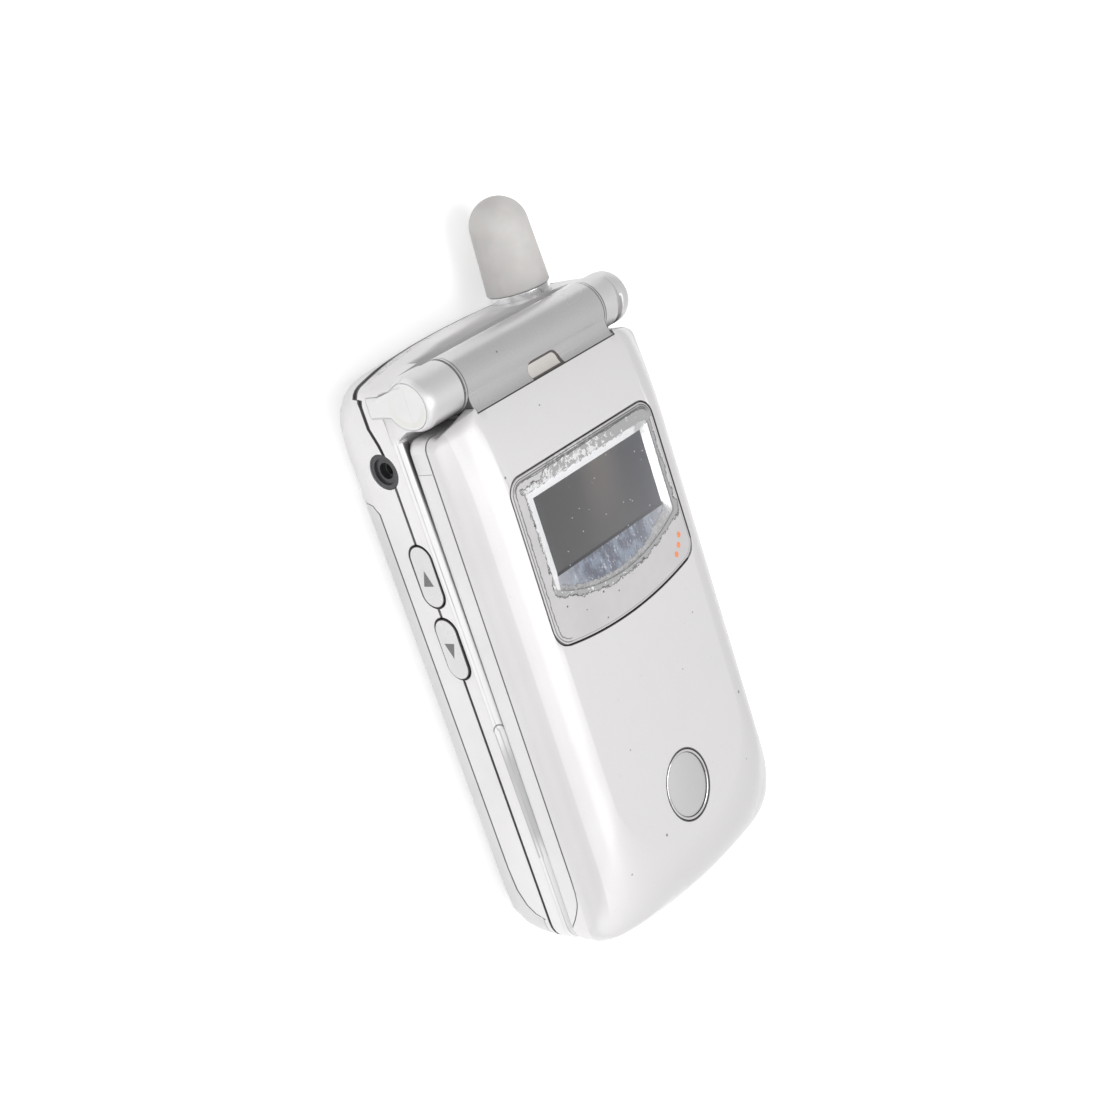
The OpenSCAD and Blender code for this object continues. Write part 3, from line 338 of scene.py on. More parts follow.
@dataclass(frozen=True)
class SideKeys:
    """Places of the slots that the volume keys and the right-hand key stand in."""

    centres: tuple[float, ...] = (52.0, 63.4)
    right: float = 57.7
    height: float = 10.5
    length: float = 9.5
    width: float = 4.1
    reach: float = 0.26

    @property
    def half(self) -> float:
        """Half the length between the slot's round ends."""
        return (self.length - self.width) / 2

    def flat(self, centre: float, grow: float) -> list[Pair]:
        """A slot's outline as (y, z) points, grown all round."""
        r = self.width / 2 + grow
        return (arc(centre + self.half, self.height, r, -90, 90, 16)
                + arc(centre - self.half, self.height, r, 90, 270, 16))

    def mask(self, g: Graph) -> Socket:
        """1 in the gaps round the keys, where shade is painted."""
        total: object = 0.0
        for centre in self.centres:
            off = g.stadium(centre, self.height, self.half, self.width / 2 + 0.1)
            total = g.most(total, g.line(off, self.reach - 0.06))
        left = g.step(g.x, -20.0, -19.0, 1.0, 0.0)
        off = g.stadium(self.right, self.height, self.half, self.width / 2 + 0.1)
        right = g.times(g.step(g.x, 19.0, 20.0), g.line(off, self.reach - 0.06))
        return g.most(g.times(total, left), right)


SIDE_KEYS = SideKeys()
DOOR_LINE = ((6.55, 9.6), (7.2, 8.15), (8.6, 6.85), (11.2, 5.85), (15.0, 5.55), (44.0, 5.45),
             (73.2, 5.35), (74.4, 4.45), (74.85, 3.0))
SKIRT_LINE = ((5.2, 14.52), (6.1, 15.23), (7.26, 16.11), (8.4, 16.82), (9.5, 17.39), (10.4, 17.74),
              (12.0, 17.99), (14.4, 18.06))
# Painted shade for the gaps between pieces
GAP_SHADE: Colour = (0.045, 0.038, 0.036)
SCRATCH: Colour = (0.16, 0.155, 0.15)
# Painted shade over the ears and under them
EAR_SHADE: Colour = (0.46, 0.46, 0.47)
UNDER_EAR_SHADE: Colour = (0.08, 0.08, 0.082)
# Painted light for the deck's chamfer, and a faint grey line along it
CHAMFER_LIGHT: Colour = (0.96, 0.95, 0.955)
CHAMFER_LINE_GREY: Colour = (0.3, 0.3, 0.3)
# Painted shade for the thumb scoops and the ear caps' outline
SCOOP_SHADE: Colour = (0.50, 0.50, 0.51)
EDGE_SHADE: Colour = (0.25, 0.25, 0.25)
HOOK_SHADE: Colour = (0.12, 0.12, 0.12)
CREASE_GREY: Colour = (0.58, 0.56, 0.57)
# A cream tone for a ring on the ear caps
CREAM_RING: Colour = (0.80, 0.785, 0.74)
SCOOP_X, SCOOP_Z, SCOOP_R = 24.25, 14.75, 1.86  # the thumb scoops' axis and radius
SCOOP_TOP = 38.3  # the scoops' upper end
STEM_Y = 88.95  # middle of the ear caps' stem
CAP_R = 3.36


class Line(Enum):
    """Lines of painted shade and light at gaps, edges and hollows, with marks beside them."""

    SEAM = "seam"
    KEYS = "keys"
    DOOR = "door"
    SKIRT = "skirt"
    LIP = "lip"
    BADGE = "badge"
    LENS = "lens"
    HINGE = "hinge"
    DECK = "deck"
    SCOOP = "scoop"
    FOOT = "foot"
    CREASE = "crease"
    CAP = "cap"

    def draw(self, g: Graph, tone: Socket) -> Socket:
        """Lays the line over a tone."""
        return getattr(self, "_" + self.value)(g, tone)

    def _seam(self, g: Graph, tone: Socket) -> Socket:
        """Painted shade in the housings' groove, with long scratches beside it at the hinge end.
        """
        streak = g.noise(1.1, 6, 0.7, (0.22, 1.0, 1.8))
        end = g.times(g.step(g.y, 89.8, 91.0), g.within(SEAM.over(g), 0.3, 1.6, 0.7),
                      g.step(g.x, 2.0, 9.0, 1.0, 0.0), g.step(g.x, -23.0, -18.0))
        tone = g.blend(g.times(end, g.line(g.minus(streak, 0.5), 0.012, 0.7, 0.02)), tone, SCRATCH)
        # Painted shade in the groove
        return g.blend(g.times(SEAM.mask(g), 0.96), tone, GAP_SHADE)

    def _keys(self, g: Graph, tone: Socket) -> Socket:
        """Painted shade in the gaps round the side keys."""
        # Painted shade in the gaps
        return g.blend(g.times(SIDE_KEYS.mask(g), 0.92), tone, GAP_SHADE)

    def _door(self, g: Graph, tone: Socket) -> Socket:
        """Painted shade in the gap round the battery door."""
        off = g.minus(g.z, g.course(DOOR_LINE))
        run = g.within(g.y, 6.4, 74.9)
        return g.blend(g.times(g.line(off, 0.13, 0.85), run), tone, GAP_SHADE)

    def _skirt(self, g: Graph, tone: Socket) -> Socket:
        """Painted shade in the gap between the flip's two shells."""
        off = g.minus(g.z, g.course(SKIRT_LINE))
        run = g.times(g.step(g.y, 5.0, 5.2), g.step(g.size(g.x), 20.0, 20.5))
        return g.blend(g.times(g.line(off, 0.10, 0.8), run), tone, GAP_SHADE)

    def _lip(self, g: Graph, tone: Socket) -> Socket:
        """Painted shade in the gap between the cover and the barrel's lip."""
        off = g.minus(g.y, NECK_Y + 0.05)
        across = g.size(g.x)
        front = g.times(g.line(off, 0.08, 0.85), g.step(across, 15.5, 15.7, 1.0, 0.0))
        ends = g.times(g.line(g.minus(across, NECK_HALF - 0.05), 0.08, 0.7),
                       g.step(g.y, 84.0, 84.2))
        return g.blend(g.most(front, ends), tone, GAP_SHADE)

    def _lens(self, g: Graph, tone: Socket) -> Socket:
        """Dark adhesive and painted shade in the gap round the outer lens."""
        off = g.plus(WINDOW.inside_lens(g), 0.02)
        return g.blend(g.line(off, 0.07, 0.9, 0.04), tone, GAP_SHADE)

    def _badge(self, g: Graph, tone: Socket) -> Socket:
        """Painted shade in the gap round the badge."""
        off = g.minus(badge_share(g), 1.0)
        return g.blend(g.line(off, 0.036, 0.9, 0.015), tone, GAP_SHADE)

    def _hinge(self, g: Graph, tone: Socket) -> Socket:
        """Painted shade over the ears, and deeper painted shade low on their front at the flip."""
        # Painted shade over the ears
        ear = g.times(g.step(g.y, 84.2, 85.4), g.step(g.z, 13.6, 15.4))
        inner = g.step(g.size(g.x), 22.2, 22.7, 1.0, 0.0)
        tone = g.blend(g.times(ear, inner, 0.25), tone, EAR_SHADE)
        # Deeper painted shade low on the ears' front, where they meet the flip
        low = g.times(g.step(g.y, 84.5, 86.2, 1.0, 0.0), g.step(g.z, 14.6, 15.6),
                      g.step(g.size(g.x), 21.3, 21.9, 1.0, 0.0))
        return g.blend(g.times(low, 0.8), tone, UNDER_EAR_SHADE)

    def _deck(self, g: Graph, tone: Socket) -> Socket:
        """Painted light on the deck's chamfer, a faint line on it and painted shade at its rim."""
        edge = g.step(g.size(g.x), 21.8, 22.4)
        run = g.step(g.y, 83.0, 84.5, 1.0, 0.0)
        streak = g.noise(2.2, 3, 0.6, (1, 0.15, 1))
        # Painted light on the chamfer, which lies in the flip's shade
        lit_chamfer = g.times(g.within(g.z, 13.2, 14.1, 0.15), edge, run, 0.9)
        tone = g.blend(lit_chamfer, tone, CHAMFER_LIGHT)
        # A faint streaky grey line along the chamfer's middle
        faint = g.times(g.line(g.minus(g.z, 13.55), 0.05, 1.0, 0.08), edge, run,
                        g.step(streak, 0.35, 0.6, 0.15, 0.6))
        tone = g.blend(faint, tone, CHAMFER_LINE_GREY)
        # Painted shade along the deck's rim, in the gap under the flip
        rim = g.times(g.step(g.z, 14.05, 14.15), g.step(g.size(g.x), 21.9, 22.1), run,
                      g.step(g.y, 66.0, 82.0, 0.3, 0.9))
        return g.blend(rim, tone, GAP_SHADE)

    def _scoop(self, g: Graph, tone: Socket) -> Socket:
        """Painted shade on the scoops' floor and edge, and in a ring at their upper ends."""
        far = g.reach(g.minus(g.size(g.x), SCOOP_X), g.minus(g.z, SCOOP_Z))
        # Painted shade on the scoops' floor
        floor = g.times(g.step(far, 1.74, 1.84, 1.0, 0.0), g.step(g.y, 18.0, 22.0),
                        g.step(g.y, 33.0, 38.0, 1.0, 0.0))
        tone = g.blend(g.times(floor, 0.7), tone, SCOOP_SHADE)
        # Painted shade along the scoops' edge
        edge = g.times(g.line(g.minus(far, SCOOP_R), 0.06, 0.5, 0.06),
                       g.within(g.y, 17.6, SCOOP_TOP))
        tone = g.blend(edge, tone, EDGE_SHADE)
        # Painted shade in a ring at the scoops' upper ends
        past = g.minus(g.y, SCOOP_TOP)
        ring = g.minus(g.reach(past, far), 1.95)
        hook = g.times(g.line(ring, 0.07, 0.75), g.step(g.y, 38.2, 38.8), g.step(g.z, 11.5, 12.2))
        return g.blend(hook, tone, HOOK_SHADE)

    def _foot(self, g: Graph, tone: Socket) -> Socket:
        """The shaded edge of the flip where it meets the deck."""
        low = g.times(g.step(g.z, 14.58, 14.68, 1.0, 0.0), g.step(g.y, 66.0, 82.0, 0.5, 0.9))
        return g.blend(low, tone, GAP_SHADE)

    def _crease(self, g: Graph, tone: Socket) -> Socket:
        """The shade along the cover's shoulder, sharp above and soft below."""
        across = g.size(g.x)
        shade = g.times(g.step(across, 20.7, 21.0), g.step(across, 21.1, 22.3, 1.0, 0.2),
                        g.within(g.y, 10.0, 82.0, 4.0), g.step(g.z, 18.1, 18.5))
        return g.blend(g.times(shade, 0.42), tone, CREASE_GREY)

    def _cap(self, g: Graph, tone: Socket) -> Socket:
        """Painted shade along the ear caps' outline, and a cream ring near their edge."""
        hub = g.from_point(HUB_Y, HUB_Z)
        disc = g.minus(hub, CAP_R)
        half = g.plus(g.ramp(g.z, 13.0, 14.8, 1.45, 1.95), g.ramp(g.z, 14.8, 17.3, 0.0, 1.3))
        stem = g.minus(g.size(g.minus(g.y, STEM_Y)), half)
        stem = g.most(stem, g.minus(g.z, HUB_Z))
        off = g.math("MINIMUM", disc, stem)
        side = g.step(g.size(g.x), 21.6, 21.9)
        # A cream ring round the hub, strongest towards the bottom end
        old = g.times(g.within(hub, 2.35, 2.95, 0.2), g.step(g.y, 86.5, 89.5, 1.0, 0.25), side)
        tone = g.blend(g.times(old, 0.7), tone, CREAM_RING)
        # Painted shade along the caps' outline
        return g.blend(g.times(g.line(off, 0.06, 0.28, 0.1), side, g.step(g.z, 10.7, 10.9)), tone,
                       EDGE_SHADE)


def badge_share(g: Graph) -> Socket:
    """How far a place is from the badge's centre, where 1 is its edge."""
    dx = g.math("DIVIDE", g.x, 4.87)
    dy = g.math("DIVIDE", g.minus(g.y, BADGE_Y), 5.58)
    return g.reach(dx, dy)


@dataclass(frozen=True)
class SatinPaint:
    """Silver metal-flake paint on moulded plastic, with scuffs and a few dark nicks.

    Attributes:
        lines: painted shade and light at gaps, edges and hollows, and marks beside them.
    """

    name: str
    colour: Colour = (0.80, 0.80, 0.805)
    shade: Colour = (0.765, 0.765, 0.77)
    metallic: float = 0.45
    roughness: float = 0.36
    grain: float = 0.004
    nicks: tuple[Point, ...] = ()
    scuff: float = 0.25
    lines: tuple[Line, ...] = ()
    flake_tone: Colour = (0.92, 0.92, 0.93)
    worn_tone: Colour = (0.60, 0.60, 0.61)
    nick_tone: Colour = (0.16, 0.15, 0.15)

    def material(self) -> bpy.types.Material:
        """Builds the paint."""
        g = Graph(self.name)
        flake = g.noise(0.13, 3, 0.65)
        cloud = g.noise(14, 2, 0.5)
        rub = g.noise(0.9, 4, 0.6)
        tone = g.blend(g.step(cloud, 0.35, 0.7), self.colour, self.shade)
        tone = g.blend(g.step(flake, 0.42, 0.7, 0.0, 0.2), tone, self.flake_tone)
        worn = g.step(rub, 0.66, 0.74, 0.0, self.scuff)
        tone = g.blend(worn, tone, self.worn_tone)
        if self.nicks:
            tone = g.blend(g.times(g.away(self.nicks, 0.08), 0.8), tone, self.nick_tone)
        for line in self.lines:
            tone = line.draw(g, tone)
        rough = g.step(cloud, 0.3, 0.7, self.roughness - 0.04, self.roughness + 0.05)
        shader = g.principled(Base_Color=tone, Metallic=self.metallic, Roughness=rough,
                              Coat_Weight=0.15, Coat_Roughness=0.25,
                              Normal=g.bump(g.noise(0.45, 3, 0.55), 0.006,
                                            g.bump(flake, self.grain)))
        return g.finish(shader.outputs[0])


@dataclass(frozen=True)
class RubberSleeve:
    """Soft matt sleeve of the antenna, a little grubby and scratched."""

    name: str
    colour: Colour = (0.66, 0.645, 0.63)
    grime: Colour = (0.61, 0.595, 0.58)
    scratch: Colour = (0.34, 0.32, 0.31)

    def material(self) -> bpy.types.Material:
        """Builds the sleeve."""
        g = Graph(self.name)
        patch = g.noise(4.5, 3, 0.55)
        scratch = g.noise(0.9, 6, 0.75, (1, 0.3, 1))
        tone = g.blend(g.step(patch, 0.35, 0.72), self.colour, self.grime)
        tone = g.blend(g.step(scratch, 0.70, 0.76, 0, 0.35), tone, self.scratch)
        shader = g.principled(Base_Color=tone, Roughness=g.step(patch, 0.3, 0.7, 0.5, 0.66),
                              Subsurface_Weight=0.08, Subsurface_Scale=0.002,
                              Normal=g.bump(g.noise(0.25, 4, 0.6), 0.008))
        return g.finish(shader.outputs[0])


@dataclass(frozen=True)
class BareMetal:
    """Metal with fine turning or rubbing marks along one axis."""

    name: str
    colour: Colour = (0.78, 0.79, 0.80)
    roughness: float = 0.25
    marks: Point = (1, 1, 12)
    metallic: float = 1.0
    rim: bool = False
    # Painted shade for the gaps at the badge rim's edges
    groove: Colour = (0.05, 0.05, 0.05)

    def material(self) -> bpy.types.Material:
        """Builds the metal."""
        g = Graph(self.name)
        line = g.noise(0.8, 4, 0.6, self.marks)
        patch = g.noise(2.5, 3, 0.6)
        dark = tuple(c * 0.8 for c in self.colour)
        tone = g.blend(g.step(patch, 0.4, 0.75, 0, 0.6), self.colour, dark)
        if self.rim:
            # Painted shade in the gaps at the rim's inner and outer edges
            share = badge_share(g)
            inner = g.line(g.minus(share, 0.895), 0.018, 0.9, 0.01)
            outer = g.step(share, 0.97, 0.98, 0.0, 0.9)
            tone = g.blend(g.most(inner, outer), tone, self.groove)
        rough = g.step(line, 0.3, 0.7, self.roughness * 0.8, self.roughness * 1.4)
        shader = g.principled(Base_Color=tone, Metallic=self.metallic, Roughness=rough,
                              Normal=g.bump(line, 0.002))
        return g.finish(shader.outputs[0])


@dataclass(frozen=True)
class Moulding:
    """Plain moulded plastic, rubber or laminate with a fine spark-eroded texture."""

    name: str
    colour: Colour = (0.035, 0.035, 0.04)
    roughness: float = 0.45
    grain: float = 0.3
    depth: float = 0.006
    metallic: float = 0.0
    spread: float = 0.25
    rim: tuple[float, ...] = ()

    def material(self) -> bpy.types.Material:
        """Builds the plastic; rim is the (half width, low y, high y, corner) of a painted shade
        outline.
        """
        g = Graph(self.name)
        cloud = g.noise(4, 4, 0.6)
        grain = g.noise(self.grain, 3, 0.6)
        light = tuple(min(1.0, c * (1 + self.spread) + 0.01) for c in self.colour)
        tone = g.blend(g.step(cloud, 0.35, 0.7), self.colour, light)
        if self.rim:
            half, low, high, corner = self.rim
            side = g.minus(g.size(g.x), half)
            off = g.most(g.rounder(side, g.minus(g.y, high), corner), g.minus(low, g.y))
            # Painted shade along the outline, in the gap round the piece
            tone = g.blend(g.step(off, -0.26, -0.18, 0.0, 0.9), tone, GAP_SHADE)
        rough = g.step(grain, 0.3, 0.7, self.roughness - 0.06, self.roughness + 0.08)
        shader = g.principled(Base_Color=tone, Metallic=self.metallic, Roughness=rough,
                              Normal=g.bump(grain, self.depth))
        return g.finish(shader.outputs[0])


@dataclass(frozen=True)
class WindowShape:
    """Places on the outer window that its panel, foil and screen share."""

    centre_x: float = 0.7
    view_half: float = 12.55
    view_low: float = 58.2
    view_high: float = 69.85
    foil_half: float = 14.15
    foil_high: float = 71.2
    foil_arc: float = 30.2
    foil_low: float = 52.8
    lens_side: float = 17.166
    lens_lean: float = -0.01
    lens_low: float = 46.6
    lens_arc: float = 66.0
    lens_high: float = 74.0
    lens_corner: float = 2.7

    def plan(self, inset: float) -> "Outline":
        """The lens's outline, drawn in by inset."""
        corner = self.lens_corner - inset
        return Outline(self.lens_side - inset, self.lens_lean, self.lens_low + inset,
                       self.lens_arc - inset, corner, self.lens_high - inset, STRAIGHT, corner)

    def inside_lens(self, g: Graph) -> Socket:
        """Distance from the lens's edge, positive inside it."""
        side = g.minus(g.size(g.x), g.scaled(g.y, self.lens_lean, self.lens_side))
        top = g.minus(g.y, self.lens_high)
        arc = self.beyond_arc(g, 0.0, self.lens_low + self.lens_arc, self.lens_arc)
        beyond = g.rounder(g.rounder(side, top, self.lens_corner), arc, self.lens_corner)
        return g.times(beyond, -1.0)

    def outside_foil(self, g: Graph) -> Socket:
        """Distance from the foil's edge, positive outside it."""
        across = g.size(g.minus(g.x, self.centre_x))
        side = g.minus(across, self.foil_half)
        top = g.minus(g.y, self.foil_high)
        arc = self.beyond_arc(g, self.centre_x, self.foil_low + self.foil_arc, self.foil_arc)
        return g.most(g.most(side, top), arc)

    @staticmethod
    def beyond_arc(g: Graph, x: float, y: float, radius: float) -> Socket:
        """Distance beyond a circle."""
        return g.minus(g.reach(g.minus(g.x, x), g.minus(g.y, y)), radius)


WINDOW = WindowShape()


@dataclass(frozen=True)
class WornPanel:
    """Silver print behind the clear lens, whose mirror coat flakes off round the foil."""

    name: str
    print_colour: Colour = (0.63, 0.615, 0.625)
    coat: Colour = (0.40, 0.40, 0.405)
    bared: Colour = (0.80, 0.80, 0.81)
    edge: Colour = (0.07, 0.068, 0.07)
    grain: Colour = (0.5, 0.5, 0.51)
    pale: Colour = (0.60, 0.59, 0.60)
    speck: Colour = (0.1, 0.1, 0.1)
    specks: tuple[Point, ...] = (
        (-4.7, 52.0, 0.17), (-12.5, 53.4, 0.15), (-5.4, 48.2, 0.13), (-0.1, 52.0, 0.14),
        (-1.6, 50.7, 0.13), (2.4, 53.0, 0.12), (-9.0, 51.2, 0.1))

    def peeling(self, g: Graph, tone: Socket, fine: Socket) -> Socket:
        """Grey mottled coat along the foil, with a dark ragged outline."""
        ragged = g.scaled(g.noise(1.3, 7, 0.75), 2.4, -1.2)
        off = WINDOW.outside_foil(g)
        top = g.step(g.y, WINDOW.foil_high - 0.3, WINDOW.foil_high + 0.2)
        below = g.step(g.y, WINDOW.view_low - 1, WINDOW.view_low, 1.0, 0.0)
        right = g.step(g.x, 13.5, 14.5, 0.0, 0.35)
        reach = g.plus(g.scaled(below, 0.5, 0.22), right)
        along = g.times(g.step(g.x, -11.0, -4.0), 3.2)
        reach = g.plus(reach, g.times(top, g.plus(along, 0.5)))
        peeled = g.minus(reach, g.plus(off, ragged))
        flake = g.noise(0.9, 7, 0.75)
        busy = g.plus(g.step(g.x, 1.0, 6.0, 0.49, 0.60), g.times(below, 0.06))
        over = g.minus(flake, busy)
        mottle = g.blend(g.step(over, -0.02, 0.02), self.coat, self.bared)
        mottle = g.blend(g.line(over, 0.006, 0.75, 0.012), mottle, self.edge)
        tone = g.blend(g.times(g.step(peeled, -0.02, 0.04), 0.95), tone, mottle)
        rim = g.step(g.size(peeled), 0.04, 0.13, 1.0, 0.0)
        return g.blend(g.times(rim, g.step(fine, 0.34, 0.5, 0.4, 1.0)), tone, self.edge)

    def border(self, g: Graph, tone: Socket) -> Socket:
        """Painted shade at the plate's edge, dark chamfer lines and ragged print at the top and
        left.
        """
        lens = WINDOW.inside_lens(g)
        left = g.step(g.x, -14.2, -13.0, 1.0, 0.0)
        top = g.step(g.y, 71.6, 72.6)
        worn = g.most(left, top)
        wobble = g.scaled(g.noise(1.7, 6, 0.7), 0.9, 0.62)
        ragged = g.step(g.size(g.minus(lens, wobble)), 0.03, 0.13, 1.0, 0.0)
        tone = g.blend(g.times(ragged, g.times(worn, 0.85)), tone, self.edge)
        shelf = g.line(g.minus(lens, 0.85), 0.1, 1.0, 0.12)
        tone = g.blend(g.times(shelf, g.times(top, 0.75)), tone, self.edge)
        second = g.line(g.minus(lens, 0.52), 0.06, 1.0, 0.04)
        share = g.scaled(worn, 0.55, 0.35)
        tone = g.blend(g.times(second, share), tone, self.edge)
        pale = g.line(g.minus(lens, 0.31), 0.1, 0.75, 0.04)
        tone = g.blend(pale, tone, self.pale)
        # Painted shade, with dark adhesive, on the plate's edge down in the gap
        return g.blend(g.step(lens, 0.15, 0.19, 0.97, 0.0), tone, self.edge)

    def material(self) -> bpy.types.Material:
        """Builds the panel."""
        g = Graph(self.name)
        fine = g.noise(0.35, 4, 0.7)
        tone = g.blend(g.step(g.noise(6, 3, 0.55), 0.35, 0.7), self.print_colour,
                       tuple(c * 0.94 for c in self.print_colour))
        tone = g.blend(g.step(fine, 0.5, 0.72, 0, 0.10), tone, self.grain)
        tone = self.border(g, self.peeling(g, tone, fine))
        tone = g.blend(g.away(self.specks, 0.05), tone, self.speck)
        shader = g.principled(Base_Color=tone, Metallic=0.1, Roughness=0.4, Coat_Weight=0.25,
                              Coat_Roughness=0.12, Normal=g.bump(g.noise(0.12, 2, 0.5), 0.002))
        return g.finish(shader.outputs[0])


@dataclass(frozen=True)
class MirrorFoil:
    """Bevelled mirror round the screen, bright above and at the sides; below, a painted blue
    reflection.
    """

    name: str
    bright: Colour = (0.99, 0.99, 0.99)
    reflected_dark: Colour = (0.10, 0.115, 0.16)
    steel: Colour = (0.25, 0.30, 0.38)
    bared: Colour = (0.62, 0.64, 0.68)
    scratch: Colour = (0.78, 0.81, 0.86)
    lost_dark: Colour = (0.36, 0.36, 0.355)
    lost_pale: Colour = (0.52, 0.52, 0.51)
    torn: Colour = (0.14, 0.14, 0.15)
    shadow: Colour = (0.01, 0.01, 0.015)
    rim: Colour = (0.2, 0.2, 0.2)

    def material(self) -> bpy.types.Material:
        """Builds the foil."""
        g = Graph(self.name)
        scratch = g.noise(0.8, 7, 0.85, (1.6, 0.5, 1))
        patch = g.noise(1.9, 6, 0.7, (1, 0.6, 1))
        below = g.step(g.y, WINDOW.view_low - 0.12, WINDOW.view_low - 0.02, 1.0, 0.0)
        off = g.minus(g.x, WINDOW.centre_x)
        inner = g.step(g.plus(g.size(off), g.times(g.minus(WINDOW.view_low, g.y), -0.3)),
                       WINDOW.foil_half - 1.7, WINDOW.foil_half - 1.4, 1.0, 0.0)
        # Painted reflection of a dark blue surround on the lower band
        depth = g.blend(g.step(patch, 0.42, 0.60), self.reflected_dark, self.steel)
        # The band turns greyer towards its ends
        depth = g.blend(g.step(g.size(off), 6.0, 12.5, 0.0, 0.55), depth, self.bared)
        depth = g.blend(g.step(scratch, 0.565, 0.60, 0, 0.8), depth, self.scratch)
        ragged = g.plus(WINDOW.outside_foil(g), g.scaled(g.noise(1.1, 7, 0.75), 2.4, -1.2))
        lost = g.plus(g.step(g.x, 3.0, 13.0, 0.75, 1.7), ragged)
        depth = g.blend(g.step(lost, -0.04, 0.04), depth, g.blend(
            g.step(g.noise(0.5, 6, 0.75), 0.45, 0.58), self.lost_dark, self.lost_pale))
        torn = g.line(lost, 0.05, 0.85, 0.06)
        depth = g.blend(torn, depth, self.torn)
        lower = g.times(below, inner)
        tone = g.blend(lower, self.bright, depth)
        line = g.line(g.minus(g.y, WINDOW.view_low - 0.12), 0.26, 0.98)
        tone = g.blend(g.times(line, inner), tone, self.shadow)
        rim = g.step(g.size(g.plus(ragged, 0.1)), 0.04, 0.14, 0.8, 0.0)
        tone = g.blend(g.times(rim, g.step(g.x, 9.0, 12.0, 1.0, 0.6)), tone, self.rim)
        silvered = g.times(g.step(off, 10.8, 11.8), g.scaled(lower, -0.9, 0.9))
        foil = g.principled(Base_Color=tone, Metallic=silvered, Coat_Weight=0.6,
                            Specular_IOR_Level=g.scaled(line, -0.5, 0.5), Roughness=0.22,
                            Normal=g.bump(scratch, 0.002))
        return g.finish(foil.outputs[0])


@dataclass(frozen=True)
class ClearLens:
    """Thin clear plastic: mostly see-through, with gloss that grows at a slant."""

    name: str
    tint: Colour = (0.995, 0.995, 1.0)
    dust: float = 1.0
    smoke: float = 0.0
    haze: Colour = (0.72, 0.72, 0.73)

    def material(self) -> bpy.types.Material:
        """Builds the lens."""
        g = Graph(self.name)
        clear = g.add("ShaderNodeBsdfTransparent")
        clear.inputs[0].default_value = (*self.tint, 1)
        gloss = g.principled(Base_Color=self.haze, Roughness=0.09, Metallic=0.0,
                             Specular_IOR_Level=0.6)
        slant = g.add("ShaderNodeFresnel")
        slant.inputs["IOR"].default_value = 1.3
        share = g.scaled(slant.outputs[0], 0.6, 0.005 + self.smoke)
        if self.dust:
            speck = g.step(g.cells(1.3), 0.05, 0.10, 1.0, 0.0)
            sparse = g.step(g.noise(2.5, 1, 0.5), 0.50, 0.55)
            hair = g.step(g.noise(1.4, 7, 0.8, (1.5, 0.45, 1)), 0.675, 0.70, 0.0, 0.28)
            marks = g.plus(g.times(g.times(speck, sparse), 0.7), hair)
            share = g.plus(share, g.times(marks, self.dust))
        share = g.math("MINIMUM", share, 1.0)
        return g.finish(g.chosen(share, clear.outputs[0], gloss.outputs[0]))


@dataclass(frozen=True)
class Screen:
    """An unlit liquid-crystal screen: dark, with a faint reddish painted sheen and painted shade
    to the right.
    """

    name: str
    dark: Colour = (0.075, 0.075, 0.075)
    warm_sheen: Colour = (0.135, 0.117, 0.112)
    right_shade: Colour = (0.02, 0.023, 0.035)
    middle: float = 1.6
    half: float = 6.0
    sheen: Colour = (0.16, 0.16, 0.16)

    def material(self) -> bpy.types.Material:
        """Builds the screen."""
        g = Graph(self.name)
        # Painted sheen, faintly red, in a leaning band across the middle
        lean = g.scaled(g.minus(g.y, 64.0), 0.2, self.middle)
        off = g.size(g.minus(g.x, lean))
        glow = g.step(off, 0.0, self.half, 1.0, 0.0)
        # Painted sheen, stronger towards the lower edge
        lower_sheen = g.step(g.y, WINDOW.view_low - 3, WINDOW.view_high + 2, 0.75, 0.15)
        # Painted shade towards the right
        tone = g.blend(g.step(g.x, self.middle + 2, self.middle + 11), self.dark, self.right_shade)
        tone = g.blend(g.times(glow, g.step(g.y, 58.0, 68.0, 0.25, 1.0)), tone, self.warm_sheen)
        tone = g.blend(g.times(lower_sheen, 0.12), tone, self.sheen)
        mesh = g.noise(0.2, 1, 0.5)
        shader = g.principled(Base_Color=tone, Specular_IOR_Level=0.15,
                              Roughness=g.step(mesh, 0.3, 0.7, 0.3, 0.38),
                              Normal=g.bump(mesh, 0.001))
        return g.finish(shader.outputs[0])


@dataclass(frozen=True)
class Ink:
    """Printed or moulded-in colour of a small mark."""

    name: str
    colour: Colour
    roughness: float = 0.4

    def material(self) -> bpy.types.Material:
        """Builds the ink."""
        g = Graph(self.name)
        pale = tuple(min(1.0, c * 1.2 + 0.02) for c in self.colour)
        tone = g.blend(g.step(g.noise(0.25, 3, 0.7), 0.4, 0.65, 0, 0.6), self.colour, pale)
        shader = g.principled(Base_Color=tone, Roughness=self.roughness,
                              Normal=g.bump(g.noise(0.15, 2, 0.5), 0.002))
        return g.finish(shader.outputs[0])


